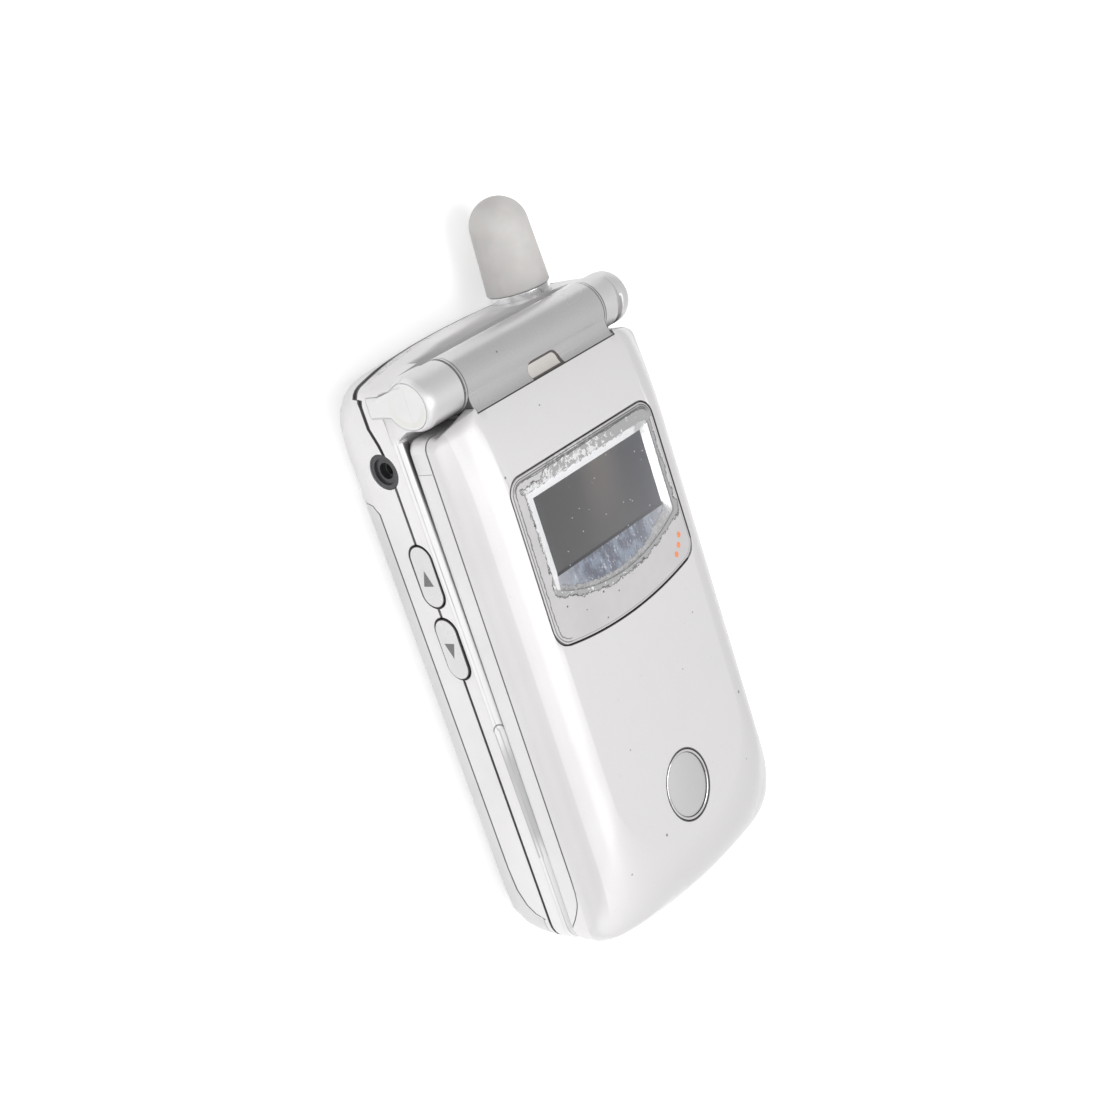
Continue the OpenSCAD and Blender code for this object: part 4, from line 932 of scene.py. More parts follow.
class Finish(Enum):
    """Every finish on the phone."""

    COVER = SatinPaint("cover_silver", colour=(0.79, 0.775, 0.782), shade=(0.755, 0.74, 0.747),
                       metallic=0.4, roughness=0.47,
                       nicks=((-16.0, 74.7, 0.18), (12.0, 40.5, 0.12), (-7.6, 13.2, 0.22),
                              (17.0, 24.3, 0.22), (-16.3, 11.6, 0.14), (-4.5, 80.9, 0.13),
                              (-2.2, 19.5, 0.1), (-17.9, 0.9, 0.2), (-12.6, 60.4, 0.09),
                              (6.3, 33.8, 0.1), (-9.4, 28.6, 0.12), (14.2, 14.0, 0.1)),
                       lines=(Line.CREASE, Line.SKIRT, Line.LIP, Line.BADGE, Line.LENS))
    HOUSING = SatinPaint("housing_silver", colour=(0.80, 0.785, 0.792), shade=(0.765, 0.75, 0.757),
                         roughness=0.45, scuff=0.18,
                         lines=(Line.HINGE, Line.CAP, Line.DECK, Line.SCOOP, Line.SEAM, Line.KEYS))
    BACK = SatinPaint("back_silver", colour=(0.77, 0.757, 0.763), shade=(0.73, 0.718, 0.723),
                      roughness=0.40, scuff=0.18, lines=(Line.DOOR, Line.SEAM, Line.KEYS))
    DOOR = SatinPaint("door_silver", colour=(0.68, 0.672, 0.676), shade=(0.64, 0.632, 0.636),
                      roughness=0.42, scuff=0.25, lines=(Line.DOOR,))
    STRIP = SatinPaint("strip_grey", colour=(0.80, 0.787, 0.793), shade=(0.77, 0.757, 0.763),
                       metallic=0.3, roughness=0.42, scuff=0.1, lines=(Line.SKIRT, Line.FOOT))
    BARREL = SatinPaint("barrel_silver", colour=(0.60, 0.594, 0.60), shade=(0.57, 0.564, 0.57),
                        metallic=0.5, roughness=0.30, scuff=0.08, nicks=((-7.6, 90.2, 0.15),),
                        lines=(Line.LIP,))
    CAP = SatinPaint("ear_cap_silver", colour=(0.86, 0.86, 0.86), shade=(0.82, 0.82, 0.82),
                     metallic=0.2, roughness=0.42, scuff=0.06, lines=(Line.CAP,))
    SIDE_KEY = SatinPaint("side_key_silver", colour=(0.69, 0.68, 0.685), shade=(0.66, 0.65, 0.655),
                          metallic=0.4, roughness=0.28, scuff=0.08, lines=(Line.KEYS,))
    KEY = SatinPaint("key_silver", colour=(0.74, 0.74, 0.745), shade=(0.70, 0.70, 0.71),
                     metallic=0.4, roughness=0.30, scuff=0.08)
    BADGE = SatinPaint("badge_silver", colour=(0.72, 0.71, 0.715), shade=(0.67, 0.66, 0.665),
                       metallic=0.5, roughness=0.34, scuff=0.1)
    SLEEVE = RubberSleeve("antenna_sleeve")
    CHROME = BareMetal("bright_collar", colour=(0.88, 0.88, 0.89), roughness=0.16)
    RIM = BareMetal("badge_rim", colour=(0.92, 0.92, 0.92), roughness=0.14, marks=(1, 1, 1),
                    metallic=0.7, rim=True)
    STEEL = BareMetal("plain_steel", colour=(0.60, 0.61, 0.62), roughness=0.32)
    GOLD = BareMetal("contact_gold", colour=(0.85, 0.66, 0.32), roughness=0.25)
    BLACK = Moulding("black_moulding", roughness=0.34, depth=0.003)
    DARK = Moulding("dark_moulding", colour=(0.06, 0.06, 0.065))
    BOARD = Moulding("board_green", colour=(0.03, 0.13, 0.07), roughness=0.32, grain=0.6)
    CELL = Moulding("cell_wrap", colour=(0.05, 0.055, 0.07), roughness=0.38, grain=0.8)
    FILM = Moulding("dome_film", colour=(0.68, 0.64, 0.50), roughness=0.35, depth=0.003)
    FLEX = Moulding("flex_amber", colour=(0.42, 0.19, 0.04), roughness=0.3, depth=0.002)
    PAD = Moulding("bumper_rubber", colour=(0.17, 0.17, 0.175), roughness=0.6)
    GUIDE = Moulding("light_guide", colour=(0.60, 0.58, 0.55), roughness=0.42, spread=0.06,
                     rim=(3.5, 84.2, 86.5, 1.2))
    PANEL = WornPanel("worn_panel")
    FOIL = MirrorFoil("mirror_foil")
    LENS = ClearLens("clear_lens")
    SMOKED = ClearLens("smoked_lens", tint=(0.62, 0.63, 0.66), dust=0.15, smoke=0.04)
    SCREEN = Screen("outer_screen")
    INNER = Screen("inner_screen", dark=(0.05, 0.06, 0.065), warm_sheen=(0.10, 0.115, 0.115),
                   right_shade=(0.045, 0.05, 0.055), middle=0.0, half=20.0)
    MARK = Ink("mark_grey", (0.16, 0.155, 0.16))
    ORANGE = Ink("dot_orange", (0.86, 0.28, 0.12))
    GREEN = Ink("call_green", (0.04, 0.35, 0.10))
    RED = Ink("end_red", (0.60, 0.05, 0.04))


class Palette:
    """Builds each finish once and hands it out."""

    def __init__(self) -> None:
        """Starts with nothing built."""
        self.built: dict[Finish, bpy.types.Material] = {}

    def get(self, finish: Finish) -> bpy.types.Material:
        """The material of a finish."""
        if finish not in self.built:
            self.built[finish] = finish.value.material()
        return self.built[finish]


PALETTE = Palette()


# ---- Mesh making ----


def shown(name: str, data: Optional[bpy.types.ID]) -> Piece:
    """Puts an object with the given mesh, curve, light or camera into the scene."""
    piece = bpy.data.objects.new(name, data)
    bpy.context.scene.collection.objects.link(piece)
    return piece


@contextmanager
def editing(mesh: bpy.types.Mesh) -> Iterator[bmesh.types.BMesh]:
    """Opens a mesh for edits and writes it back."""
    work = bmesh.new()
    work.from_mesh(mesh)
    yield work
    work.to_mesh(mesh)
    work.free()
    mesh.update()


def outward(piece: Piece) -> Piece:
    """Merges doubles and turns every face outwards."""
    with editing(piece.data) as work:
        bmesh.ops.remove_doubles(work, verts=work.verts, dist=1e-7)
        bmesh.ops.recalc_face_normals(work, faces=work.faces)
    return piece


def ringed(name: str, rings: Sequence[Sequence[Point]], hoop: bool = False) -> Piece:
    """A closed solid through rings of as many points each, turned the right way out.

    Args:
        name: the piece's name.
        rings: the rings, in the phone's millimetres.
        hoop: True to join the last ring to the first, False to close both ends.

    Returns:
        The piece.
    """
    count, last = len(rings[0]), len(rings) - 1
    faces: list[list[int]] = [] if hoop else [list(range(count))[::-1]]
    for j in range(len(rings) if hoop else last):
        low, high = j * count, (j + 1) % len(rings) * count
        for i in range(count):
            k = (i + 1) % count
            faces.append([low + i, low + k, high + k, high + i])
    if not hoop:
        faces.append([last * count + i for i in range(count)])
    mesh = bpy.data.meshes.new(name)
    mesh.from_pydata([at(*point) for ring in rings for point in ring], [], faces)
    return outward(shown(name, mesh))


def loft(name: str, plans: Sequence[Sequence[Pair]], heights: Sequence[float],
         hoop: bool = False) -> Piece:
    """A closed solid through plans of as many points each, one at each height."""
    return ringed(name, [[(x, y, z) for x, y in plan] for plan, z in zip(plans, heights)], hoop)


class Axis(Enum):
    """The axis that a prism or a turned piece runs along, with how its flat points are placed."""

    X = 0
    Y = 1
    Z = 2

    def put(self, a: float, b: float, along: float) -> Point:
        """Places a flat point (a, b) at a distance along the axis."""
        return {Axis.X: (along, a, b), Axis.Y: (a, along, b), Axis.Z: (a, b, along)}[self]


def prism(name: str, flat: Sequence[Pair], axis: Axis, start: float, end: float) -> Piece:
    """A flat outline run from start to end along an axis."""
    return ringed(name, [[axis.put(a, b, s) for a, b in flat] for s in (start, end)])


def block(name: str, low: Point, high: Point) -> Piece:
    """A box between two corners, for cutting."""
    flat = [low[:2], (high[0], low[1]), high[:2], (low[0], high[1])]
    return prism(name, flat, Axis.Z, low[2], high[2])


def turned(name: str, profile: Sequence[Pair], axis: Axis, centre: Point,
           steps: int = 96) -> Piece:
    """Turns (radius, along) points about an axis through centre into a closed solid."""
    turn = [2 * math.pi * i / steps for i in range(steps)]
    rings = []
    for radius, along in profile:
        ring = [axis.put(radius * math.cos(t), radius * math.sin(t), along) for t in turn]
        rings.append([tuple(p[k] + centre[k] for k in range(3)) for p in ring])
    return ringed(name, rings)


def evaluated(piece: Piece) -> None:
    """Bakes the modifiers of a piece into its mesh."""
    graph = bpy.context.evaluated_depsgraph_get()
    mesh = bpy.data.meshes.new_from_object(piece.evaluated_get(graph), depsgraph=graph)
    old = piece.data
    piece.modifiers.clear()
    piece.data = mesh
    mesh.name = piece.name
    bpy.data.meshes.remove(old)


def cut(piece: Piece, tools: Sequence[Piece], operation: str = "DIFFERENCE") -> Piece:
    """Cuts the tools out of a piece, or joins or keeps what they share, and removes them."""
    for tool in tools:
        modifier = piece.modifiers.new("cut", "BOOLEAN")
        modifier.operation = operation
        modifier.solver = "MANIFOLD"
        modifier.object = tool
        evaluated(piece)
        bpy.data.objects.remove(tool)
    return piece


def joined(name: str, parts: Sequence[Piece]) -> Piece:
    """Puts the meshes of several pieces into one."""
    mesh = bpy.data.meshes.new(name)
    with editing(mesh) as work:
        for part in parts:
            work.from_mesh(part.data)
    for part in parts:
        bpy.data.objects.remove(part)
    return shown(name, mesh)


def smoothed(piece: Piece, edge: float = 0.0, sharp: float = 33.0, segments: int = 2) -> Piece:
    """Rounds the sharp edges by edge millimetres and shades the rest smoothly."""
    if edge:
        bevel = piece.modifiers.new("edge", "BEVEL")
        bevel.width = edge * MM
        bevel.segments = segments
        bevel.limit_method = "ANGLE"
        bevel.angle_limit = math.radians(sharp)
        bevel.use_clamp_overlap = True
        evaluated(piece)
    piece.data.polygons.foreach_set("use_smooth", [True] * len(piece.data.polygons))
    piece.data.set_sharp_from_angle(angle=math.radians(sharp + 12 if edge else sharp))
    weighted = piece.modifiers.new("normals", "WEIGHTED_NORMAL")
    weighted.keep_sharp = True
    weighted.weight = 60
    evaluated(piece)
    return piece


def whole_copy(node: str) -> Piece:
    """A copy of a node's mesh with its triangles joined."""
    name = node + "_finished"
    mesh = frame["nodes"][node].data.copy()
    mesh.name = name
    with editing(mesh) as work:
        bmesh.ops.remove_doubles(work, verts=work.verts, dist=1.5e-6)
        bmesh.ops.dissolve_degenerate(work, edges=work.edges, dist=1e-6)
    mesh.materials.clear()
    return shown(name, mesh)


def tidy_flats(piece: Piece) -> Piece:
    """Makes the flat faces of a piece whole."""
    with editing(piece.data) as work:
        bmesh.ops.dissolve_limit(work, angle_limit=math.radians(0.2), verts=work.verts,
                                 edges=work.edges)
    return piece


def body_of(node: str) -> str:
    """The body that a node rides on."""
    bodies = frame["record"]["behaviour"]["bodies"]
    return next(body for body, nodes in bodies.items() if node in nodes)


def painted(piece: Piece, finish: Finish) -> Piece:
    """Gives a piece its finish."""
    piece.data.materials.clear()
    piece.data.materials.append(PALETTE.get(finish))
    LOG.info("%s: %d faces, %s", piece.name, len(piece.data.polygons), finish.name)
    return piece


def dress(piece: Piece, finish: Finish, node: str, stands: bool = False) -> Piece:
    """Paints a finished piece and lets it ride with the node that it belongs to.

    Args:
        piece: the finished piece.
        finish: its finish.
        node: the node whose body it takes.
        stands: True if the piece takes the node's place.

    Returns:
        The piece.
    """
    painted(piece, finish)
    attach(piece, body_of(node))
    if stands:
        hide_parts(node)
    return piece


def refine(node: str, finish: Finish, edge: float = 0.0, sharp: float = 33.0) -> Piece:
    """Stands a node's own shape, with rounded edges and smooth curves, in its place."""
    piece = smoothed(tidy_flats(whole_copy(node)), edge, sharp)
    return dress(piece, finish, node, stands=True)


# ---- Outlines and curves ----


def arc(cx: float, cy: float, r: float, start: float, end: float, steps: int) -> list[Pair]:
    """Points on an arc, with angles in degrees."""
    turn = [math.radians(start + (end - start) * i / steps) for i in range(steps + 1)]
    return [(cx + r * math.cos(t), cy + r * math.sin(t)) for t in turn]


@dataclass(frozen=True)
class Outline:
    """A rounded plan between two leaning sides, a bowed bottom end and a bowed upper edge."""

    side: float
    lean: float
    low: float
    low_arc: float
    low_corner: float
    high: float
    high_arc: float
    high_corner: float

    def corner(self, centre: float, radius: float, r: float, end: int) -> float:
        """Height of the centre of the corner that touches a side and an end."""
        q = 1 + self.lean ** 2
        a = self.side - r * math.sqrt(q)
        h = a * self.lean - centre
        m = a * a + centre * centre - (radius - r) ** 2
        return (-h + end * math.sqrt(h * h - q * m)) / q

    def loop(self, ends: int = 14, corner: int = 14, sides: int = 36) -> list[Pair]:
        """The whole outline, anticlockwise from the middle of the bottom end."""
        low, high = self.low + self.low_arc, self.high - self.high_arc
        slant = math.sqrt(1 + self.lean ** 2)
        by = self.corner(low, self.low_arc, self.low_corner, -1)
        bx = self.side - self.low_corner * slant + self.lean * by
        ty = self.corner(high, self.high_arc, self.high_corner, 1)
        tx = self.side - self.high_corner * slant + self.lean * ty
        ba = math.degrees(math.atan2(by - low, bx))
        ta = math.degrees(math.atan2(ty - high, tx))
        lie = -math.degrees(math.atan(self.lean))
        half = arc(0, low, self.low_arc, -90, ba, ends)
        half += arc(bx, by, self.low_corner, ba, lie, corner)[1:]
        for i in range(1, sides):
            y = by + (ty - by) * i / sides
            half.append((self.side + self.lean * y, y))
        half += arc(tx, ty, self.high_corner, lie, ta, corner)
        half += arc(0, high, self.high_arc, ta, 90, ends)[1:]
        return half + [(-x, y) for x, y in half[-2:0:-1]]


def smooth_rows(rows: np.ndarray, count: int) -> np.ndarray:
    """Resamples a table of profile rows along its length with a monotone curve.

    Args:
        rows: one row per station, whose first two columns are the place on the profile.
        count: how many rows to return.

    Returns:
        The resampled rows.
    """
    reach = np.concatenate([[0], np.cumsum(np.hypot(*np.diff(rows[:, :2], axis=0).T))])
    wanted = np.linspace(0, reach[-1], count)
    out = np.zeros((count, rows.shape[1]))
    for c in range(rows.shape[1]):
        v = rows[:, c]
        step = np.diff(reach)
        rise = np.diff(v) / step
        slope = np.zeros_like(v)
        for i in range(1, len(v) - 1):
            if rise[i - 1] * rise[i] > 0:
                a, b = 2 * step[i] + step[i - 1], step[i] + 2 * step[i - 1]
                slope[i] = (a + b) / (a / rise[i - 1] + b / rise[i])
        slope[0], slope[-1] = rise[0], rise[-1]
        k = np.clip(np.searchsorted(reach, wanted, side="right") - 1, 0, len(step) - 1)
        t = (wanted - reach[k]) / step[k]
        out[:, c] = (
            (2 * t ** 3 - 3 * t ** 2 + 1) * v[k] + (t ** 3 - 2 * t ** 2 + t) * step[k] * slope[k]
            + (3 * t ** 2 - 2 * t ** 3) * v[k + 1] + (t ** 3 - t ** 2) * step[k] * slope[k + 1])
    return out


def rounded_flat(width: float, height: float, radius: float, cx: float = 0.0, cy: float = 0.0,
                 steps: int = 8) -> list[Pair]:
    """A rectangle with rounded corners, as a flat outline."""
    flat: list[Pair] = []
    x, y = width / 2 - radius, height / 2 - radius
    for k, (sx, sy) in enumerate([(1, -1), (1, 1), (-1, 1), (-1, -1)]):
        flat += arc(cx + sx * x, cy + sy * y, radius, 90 * k - 90, 90 * k, steps)
    return flat


def oval(half_x: float, half_y: float, cx: float, cy: float, steps: int = 96) -> list[Pair]:
    """An oval as a flat outline."""
    return [(cx + half_x * math.cos(2 * math.pi * i / steps),
             cy + half_y * math.sin(2 * math.pi * i / steps)) for i in range(steps)]


# ---- Repeated small pieces ----


class Repeater:
    """A Geometry Nodes row of boxes, realised into one plain mesh."""

    @staticmethod
    def tree(name: str) -> bpy.types.GeometryNodeTree:
        """Builds the node tree with named inputs for its sizes."""
        group = bpy.data.node_groups.new(name, "GeometryNodeTree")
        face = group.interface
        face.new_socket("Geometry", in_out="OUTPUT", socket_type="NodeSocketGeometry")
        for label, kind in (("Geometry", "Geometry"), ("Count", "Int"), ("Start", "Vector"),
                            ("Pitch", "Vector"), ("Size", "Vector"), ("Finish", "Material")):
            face.new_socket(label, in_out="INPUT", socket_type="NodeSocket" + kind)
        kinds = ("NodeGroupInput", "NodeGroupOutput", "GeometryNodeMeshLine",
                 "GeometryNodeMeshCube", "GeometryNodeTransform", "GeometryNodeInstanceOnPoints",
                 "GeometryNodeRealizeInstances", "GeometryNodeSetMaterial")
        given, result, line, box, sized, spread, real, paint = map(group.nodes.new, kinds)
        for start, out, end, into in (
                (given, "Count", line, "Count"), (given, "Start", line, "Start Location"),
                (given, "Pitch", line, "Offset"), (box, "Mesh", sized, "Geometry"),
                (given, "Size", sized, "Scale"), (line, "Mesh", spread, "Points"),
                (sized, "Geometry", spread, "Instance"), (spread, "Instances", real, "Geometry"),
                (real, "Geometry", paint, "Geometry"), (given, "Finish", paint, "Material"),
                (paint, "Geometry", result, "Geometry")):
            group.links.new(start.outputs[out], end.inputs[into])
        return group

    @classmethod
    def row(cls, name: str, count: int, start: Point, pitch: Point, size: Point,
            finish: Finish) -> Piece:
        """A row of boxes from start on, a pitch apart, in the phone's millimetres."""
        piece = shown(name, bpy.data.meshes.new(name))
        modifier = piece.modifiers.new("row", "NODES")
        modifier.node_group = cls.tree(name + "_row")
        values = {"Count": count, "Start": tuple(at(*start)),
                  "Pitch": tuple(c * MM for c in pitch), "Size": tuple(c * MM for c in size),
                  "Finish": PALETTE.get(finish)}
        for item in modifier.node_group.interface.items_tree:
            if item.in_out == "INPUT" and item.name in values:
                modifier[item.identifier] = values[item.name]
        bpy.context.view_layer.update()
        evaluated(piece)
        return smoothed(outward(piece), 0.0, 35)


# ---- Sub-assemblies ----


@dataclass
class FlipCover:
    """The painted cover of the flip, whose skirt closes the bottom end."""

    half: float = 23.3
    foot: float = 14.52
    seam: float = 18.06
    front: float = 23.95
    wall: float = 1.1
    bow: float = 96.0
    corner: float = 3.8
    seat: float = 23.0
    rings: int = 54
    edge: float = 83.4  # the seam's upper end
    edge_corner: float = 1.8
    head_from: float = 70.0  # where the front starts to fall towards the hinge
    head_arc: float = 55.0
    shelf: float = 1.2  # how far the shelf under the lens reaches past it
    shelf_run: Pair = (22.2, 22.9)
    badge_seat: Pair = (4.9, 5.62)
    badge_depth: float = 0.65
    past: float = 100.0  # beyond the upper end
    clear: float = 30.0  # above the front
    lug_x: float = 10.5
    lug_half: float = 2.6
    lug_run: Pair = (78.0, 90.0)
    lug_top: float = 19.65
    pocket: tuple[Point, Point] = ((-13.9, 56.4, 17.0), (14.9, 71.6, 24.0))
    flex: tuple[Point, Point] = ((2.0, 78.0, 17.0), (7.0, 90.0, 19.9))
    under_lip: Pair = (82.2, 19.92)
    # inset and rise of the skirt's rolled edge
    rolled: tuple[Pair, ...] = ((0.75, 0.0), (0.4, 0.1), (0.15, 0.33), (0.03, 0.6), (0.0, 0.85))
    # share of the height, side inset, bottom inset, upper edge, its bow, share of the head's fall
    profile: tuple[tuple[float, ...], ...] = (
        (0, 0, 0, 83.4, 1 / STRAIGHT, 0), (0.19, 0.5, 0.1, 84.6, 1 / 150, 0.1),
        (0.36, 1.15, 0.55, 85.6, 1 / 100, 0.35), (0.52, 1.85, 1.25, 86.2, 1 / 80, 0.7),
        (0.62, 2.45, 1.9, 86.6, 1 / 70, 0.9), (0.745, 3.4, 3.2, 86.6, 1 / 70, 1),
        (0.865, 4.5, 5, 86.6, 1 / 70, 1), (0.95, 5.8, 7, 86.4, 1 / 80, 1),
        (0.985, 6.8, 8.5, 84.6, 1 / 400, 1), (0.992, 7.1, 9, 80, 1 / 900, 1),
        (0.997, 7.3, 9.5, 75, 1 / 900, 1), (1, 7.5, 10, 70, 1 / 900, 1))
    skirt: tuple[Pair, ...] = (
        (5.2, 0), (6.1, 0.2), (7.26, 0.45), (8.4, 0.65), (9.5, 0.81), (10.4, 0.91), (12, 0.98),
        (14.4, 1.014))

    def head_drop(self, y: float) -> float:
        """How far the front falls towards the hinge."""
        run = max(0.0, y - self.head_from)
        return self.head_arc - math.sqrt(self.head_arc ** 2 - run ** 2)

    def shell_rings(self, inset: float) -> list[list[Point]]:
        """Rings from the seam to the front, drawn in and lowered by inset."""
        rise = self.front - self.seam
        table = np.array(self.profile)
        rows = smooth_rows(np.column_stack([table[:, 0] * rise, table[:, 1:]]), self.rings)
        rings = []
        for height, side, bottom, upper, bend, fall in rows:
            corner = max(self.corner - inset, 2.5) + 2.6 * min(side, 2.5) + 0.5 * side
            plan = Outline(self.half - side - inset, 0, bottom + inset, self.bow - bottom - inset,
                           corner, upper - inset, 1 / bend, self.edge_corner + 0.1 * side)
            rings.append([
                (x, y, self.seam + height - inset - fall * self.head_drop(y))
                for x, y in plan.loop()])
        return rings

    def flat_ring(self, inset: float, z: float) -> list[Point]:
        """A level ring on the seam's outline."""
        plan = Outline(self.half - inset, 0, inset, self.bow - inset,
                       max(self.corner - inset, 2.5), self.edge - max(inset - 0.02, 0), STRAIGHT,
                       self.edge_corner)
        return [(x, y, z) for x, y in plan.loop()]

    def openings(self) -> list[Piece]:
        """What the hinge end, the lens, the badge and the lugs take out of the cover."""
        height = self.seam - self.foot
        strip = [(y, self.foot + share * height) for y, share in self.skirt]
        strip += [(130, self.seam), (130, self.foot - 2), (5.2, self.foot - 2)]
        seat, across = WINDOW.plan(0.0).loop(10, 10, 4), NECK_HALF
        low_y, high_y = self.lug_run
        lip_y, lip_z = self.under_lip
        tools = [prism("strip", strip, Axis.X, -40, 40),
                 prism("seat", seat, Axis.Z, self.seat, self.clear), block("pocket", *self.pocket),
                 block("neck", (-across, NECK_Y, 15), (across, self.past, self.clear)),
                 block("under_lip", (-across, lip_y, 15), (across, self.past, lip_z)),
                 prism("badge_seat", oval(*self.badge_seat, 0, BADGE_Y), Axis.Z,
                       self.front - self.badge_depth, self.clear)]
        for x in (-self.lug_x, self.lug_x):
            tools.append(block("lug", (x - self.lug_half, low_y, 17),
                               (x + self.lug_half, high_y, self.lug_top)))
        return tools + [block("flex", *self.flex)]

    def build(self) -> None:
        """Builds the cover."""
        outer = [self.flat_ring(inset, self.foot + rise) for inset, rise in self.rolled]
        inner = self.shell_rings(self.wall)[::-1] + [self.flat_ring(self.wall, self.foot)]
        shell = ringed("flip_cover_painted", inner + outer + self.shell_rings(0))
        shelf = Outline(WINDOW.lens_side + self.shelf, WINDOW.lens_lean,
                        WINDOW.lens_low - self.shelf, WINDOW.lens_arc + self.shelf,
                        self.edge_corner, WINDOW.lens_high + self.shelf, STRAIGHT,
                        self.edge_corner)
        cut(shell, [prism("shelf", shelf.loop(10, 8, 4), Axis.Z, *self.shelf_run)], "UNION")
        cut(shell, self.openings())
        smoothed(shell, 0.05, 38, 2)
        dress(shell, Finish.COVER, "flip_cover", stands=True)


@dataclass
class OuterWindow:
    """Lens panel, clear window, mirror foil, screen and the three coloured dots."""

    top: float = 23.9
    under: float = 23.2
    foil_top: float = 23.7
    foil_foot: float = 23.32
    pane: float = 0.14  # thickness of the clear window
    cell: Pair = (2.4, 14.4)  # how far the screen is wider than its view, and its height
    screen_back: float = 19.05
    # inset and depth below the face of the plate's chamfer
    chamfer: tuple[Pair, ...] = ((0.15, 0.22), (0.22, 0.07), (0.38, 0.0))
    dot_r: float = 0.42
    dots_at: tuple[Pair, ...] = ((14.15, 52.45), (13.45, 51.05), (12.45, 49.95))

    def foil_outline(self, grow: float = 0.0) -> list[Pair]:
        """The mirror's outline, with its bowed lower edge."""
        plan = Outline(WINDOW.foil_half + grow, 0, WINDOW.foil_low - grow, WINDOW.foil_arc + grow,
                       0.9, WINDOW.foil_high + grow, STRAIGHT, 0.9)
        return [(x + WINDOW.centre_x, y) for x, y in plan.loop(16, 6, 6)]

    def panel(self) -> None:
        """The printed plate round the window."""
        rows = [(self.chamfer[0][0], self.under)]
        rows += [(inset, self.top - down) for inset, down in self.chamfer]
        plans = [WINDOW.plan(inset).loop(24, 12, 20) for inset, _ in rows]
        plate = loft("outer_lens_panel", plans, [z for _, z in rows])
        cut(plate, [prism("opening", self.foil_outline(), Axis.Z, 20, 30)])
        smoothed(plate, 0.0, 30)
        dress(plate, Finish.PANEL, "outer_lens", stands=True)

    def window(self) -> None:
        """The clear part of the lens."""
        pane = prism("outer_lens_window", self.foil_outline(-0.01), Axis.Z, self.top - self.pane,
                     self.top - 0.005)
        dress(smoothed(pane), Finish.LENS, "outer_lens")

    def foil(self) -> None:
        """The bevelled mirror, from the window's outline down to the screen's edge."""
        plan = self.foil_outline(-0.02)
        cx, cy = WINDOW.centre_x, (WINDOW.view_low + WINDOW.view_high) / 2
        hx, hy = WINDOW.view_half, (WINDOW.view_high - WINDOW.view_low) / 2
        edge = [(cx + max(-hx, min(hx, x - cx)), cy + max(-hy, min(hy, y - cy))) for x, y in plan]
        under = self.foil_foot - 0.12
        mirror = loft("mirror_mask_foil", (plan, edge, edge, plan),
                      (self.foil_top, self.foil_foot, under, under), hoop=True)
        smoothed(mirror, 0.0, 6)
        dress(mirror, Finish.FOIL, "mirror_mask", stands=True)

    def screen(self) -> None:
        """The screen behind the window."""
        more, height = self.cell
        flat = rounded_flat(2 * WINDOW.view_half + more, height, 0.8, WINDOW.centre_x - 0.3, 64)
        panel = prism("outer_display_cell", flat, Axis.Z, self.screen_back, self.foil_foot - 0.13)
        dress(smoothed(panel, 0.05), Finish.SCREEN, "outer_display", stands=True)

    def dots(self) -> None:
        """Three coloured dots in the lens's lower corner."""
        discs = [prism("dot", oval(self.dot_r, self.dot_r * 1.12, x, y, 24), Axis.Z,
                       self.top - 0.02, self.top + 0.012) for x, y in self.dots_at]
        dress(smoothed(joined("lens_dots", discs)), Finish.ORANGE, "outer_lens")

    def build(self) -> None:
        """Builds the window's pieces."""
        self.panel()
        self.window()
        self.foil()
        self.screen()
        self.dots()


@dataclass
class Badge:
    """The bare oval badge: a bright rim round a slightly domed silver face."""

    half_x: float = 4.83
    half_y: float = 5.54
    base: float = 23.33
    top: float = 23.95
    rim: float = 0.55
    crown: float = 0.16
    sunk: float = 0.24  # how far the face's edge lies below the rim's crest
    steps: int = 9
    # inset and depth below the crest of the rim's section
    section: tuple[Pair, ...] = (
        (0.0, 0.10), (0.10, 0.02), (0.24, 0.0), (0.38, 0.03), (0.5, 0.12), (0.55, 0.22))

    def plan(self, inset: float, share: float = 1.0) -> list[Pair]:
        """The badge's outline, drawn in by inset and then shrunk to a share."""
        return oval((self.half_x - inset) * share, (self.half_y - inset) * share, 0, BADGE_Y)

    def build(self) -> None:
        """Builds the rim and the face."""
        rows = [(0.0, self.base), *((inset, self.top - down) for inset, down in self.section),
                (self.rim, self.base)]
        rim = loft("badge_rim", [self.plan(inset) for inset, _ in rows], [z for _, z in rows],
                   hoop=True)
        dress(smoothed(rim, 0.0, 50), Finish.RIM, "badge", stands=True)
        shares = [1.0] + [1 - i / self.steps for i in range(self.steps)]
        heights = [self.base + 0.02] + [self.top - self.sunk + self.crown * (1 - share ** 2)
                                        for share in shares[1:]]
        face = loft("badge_face", [self.plan(self.rim + 0.01, share) for share in shares], heights)
        dress(smoothed(face, 0.0, 50), Finish.BADGE, "badge")


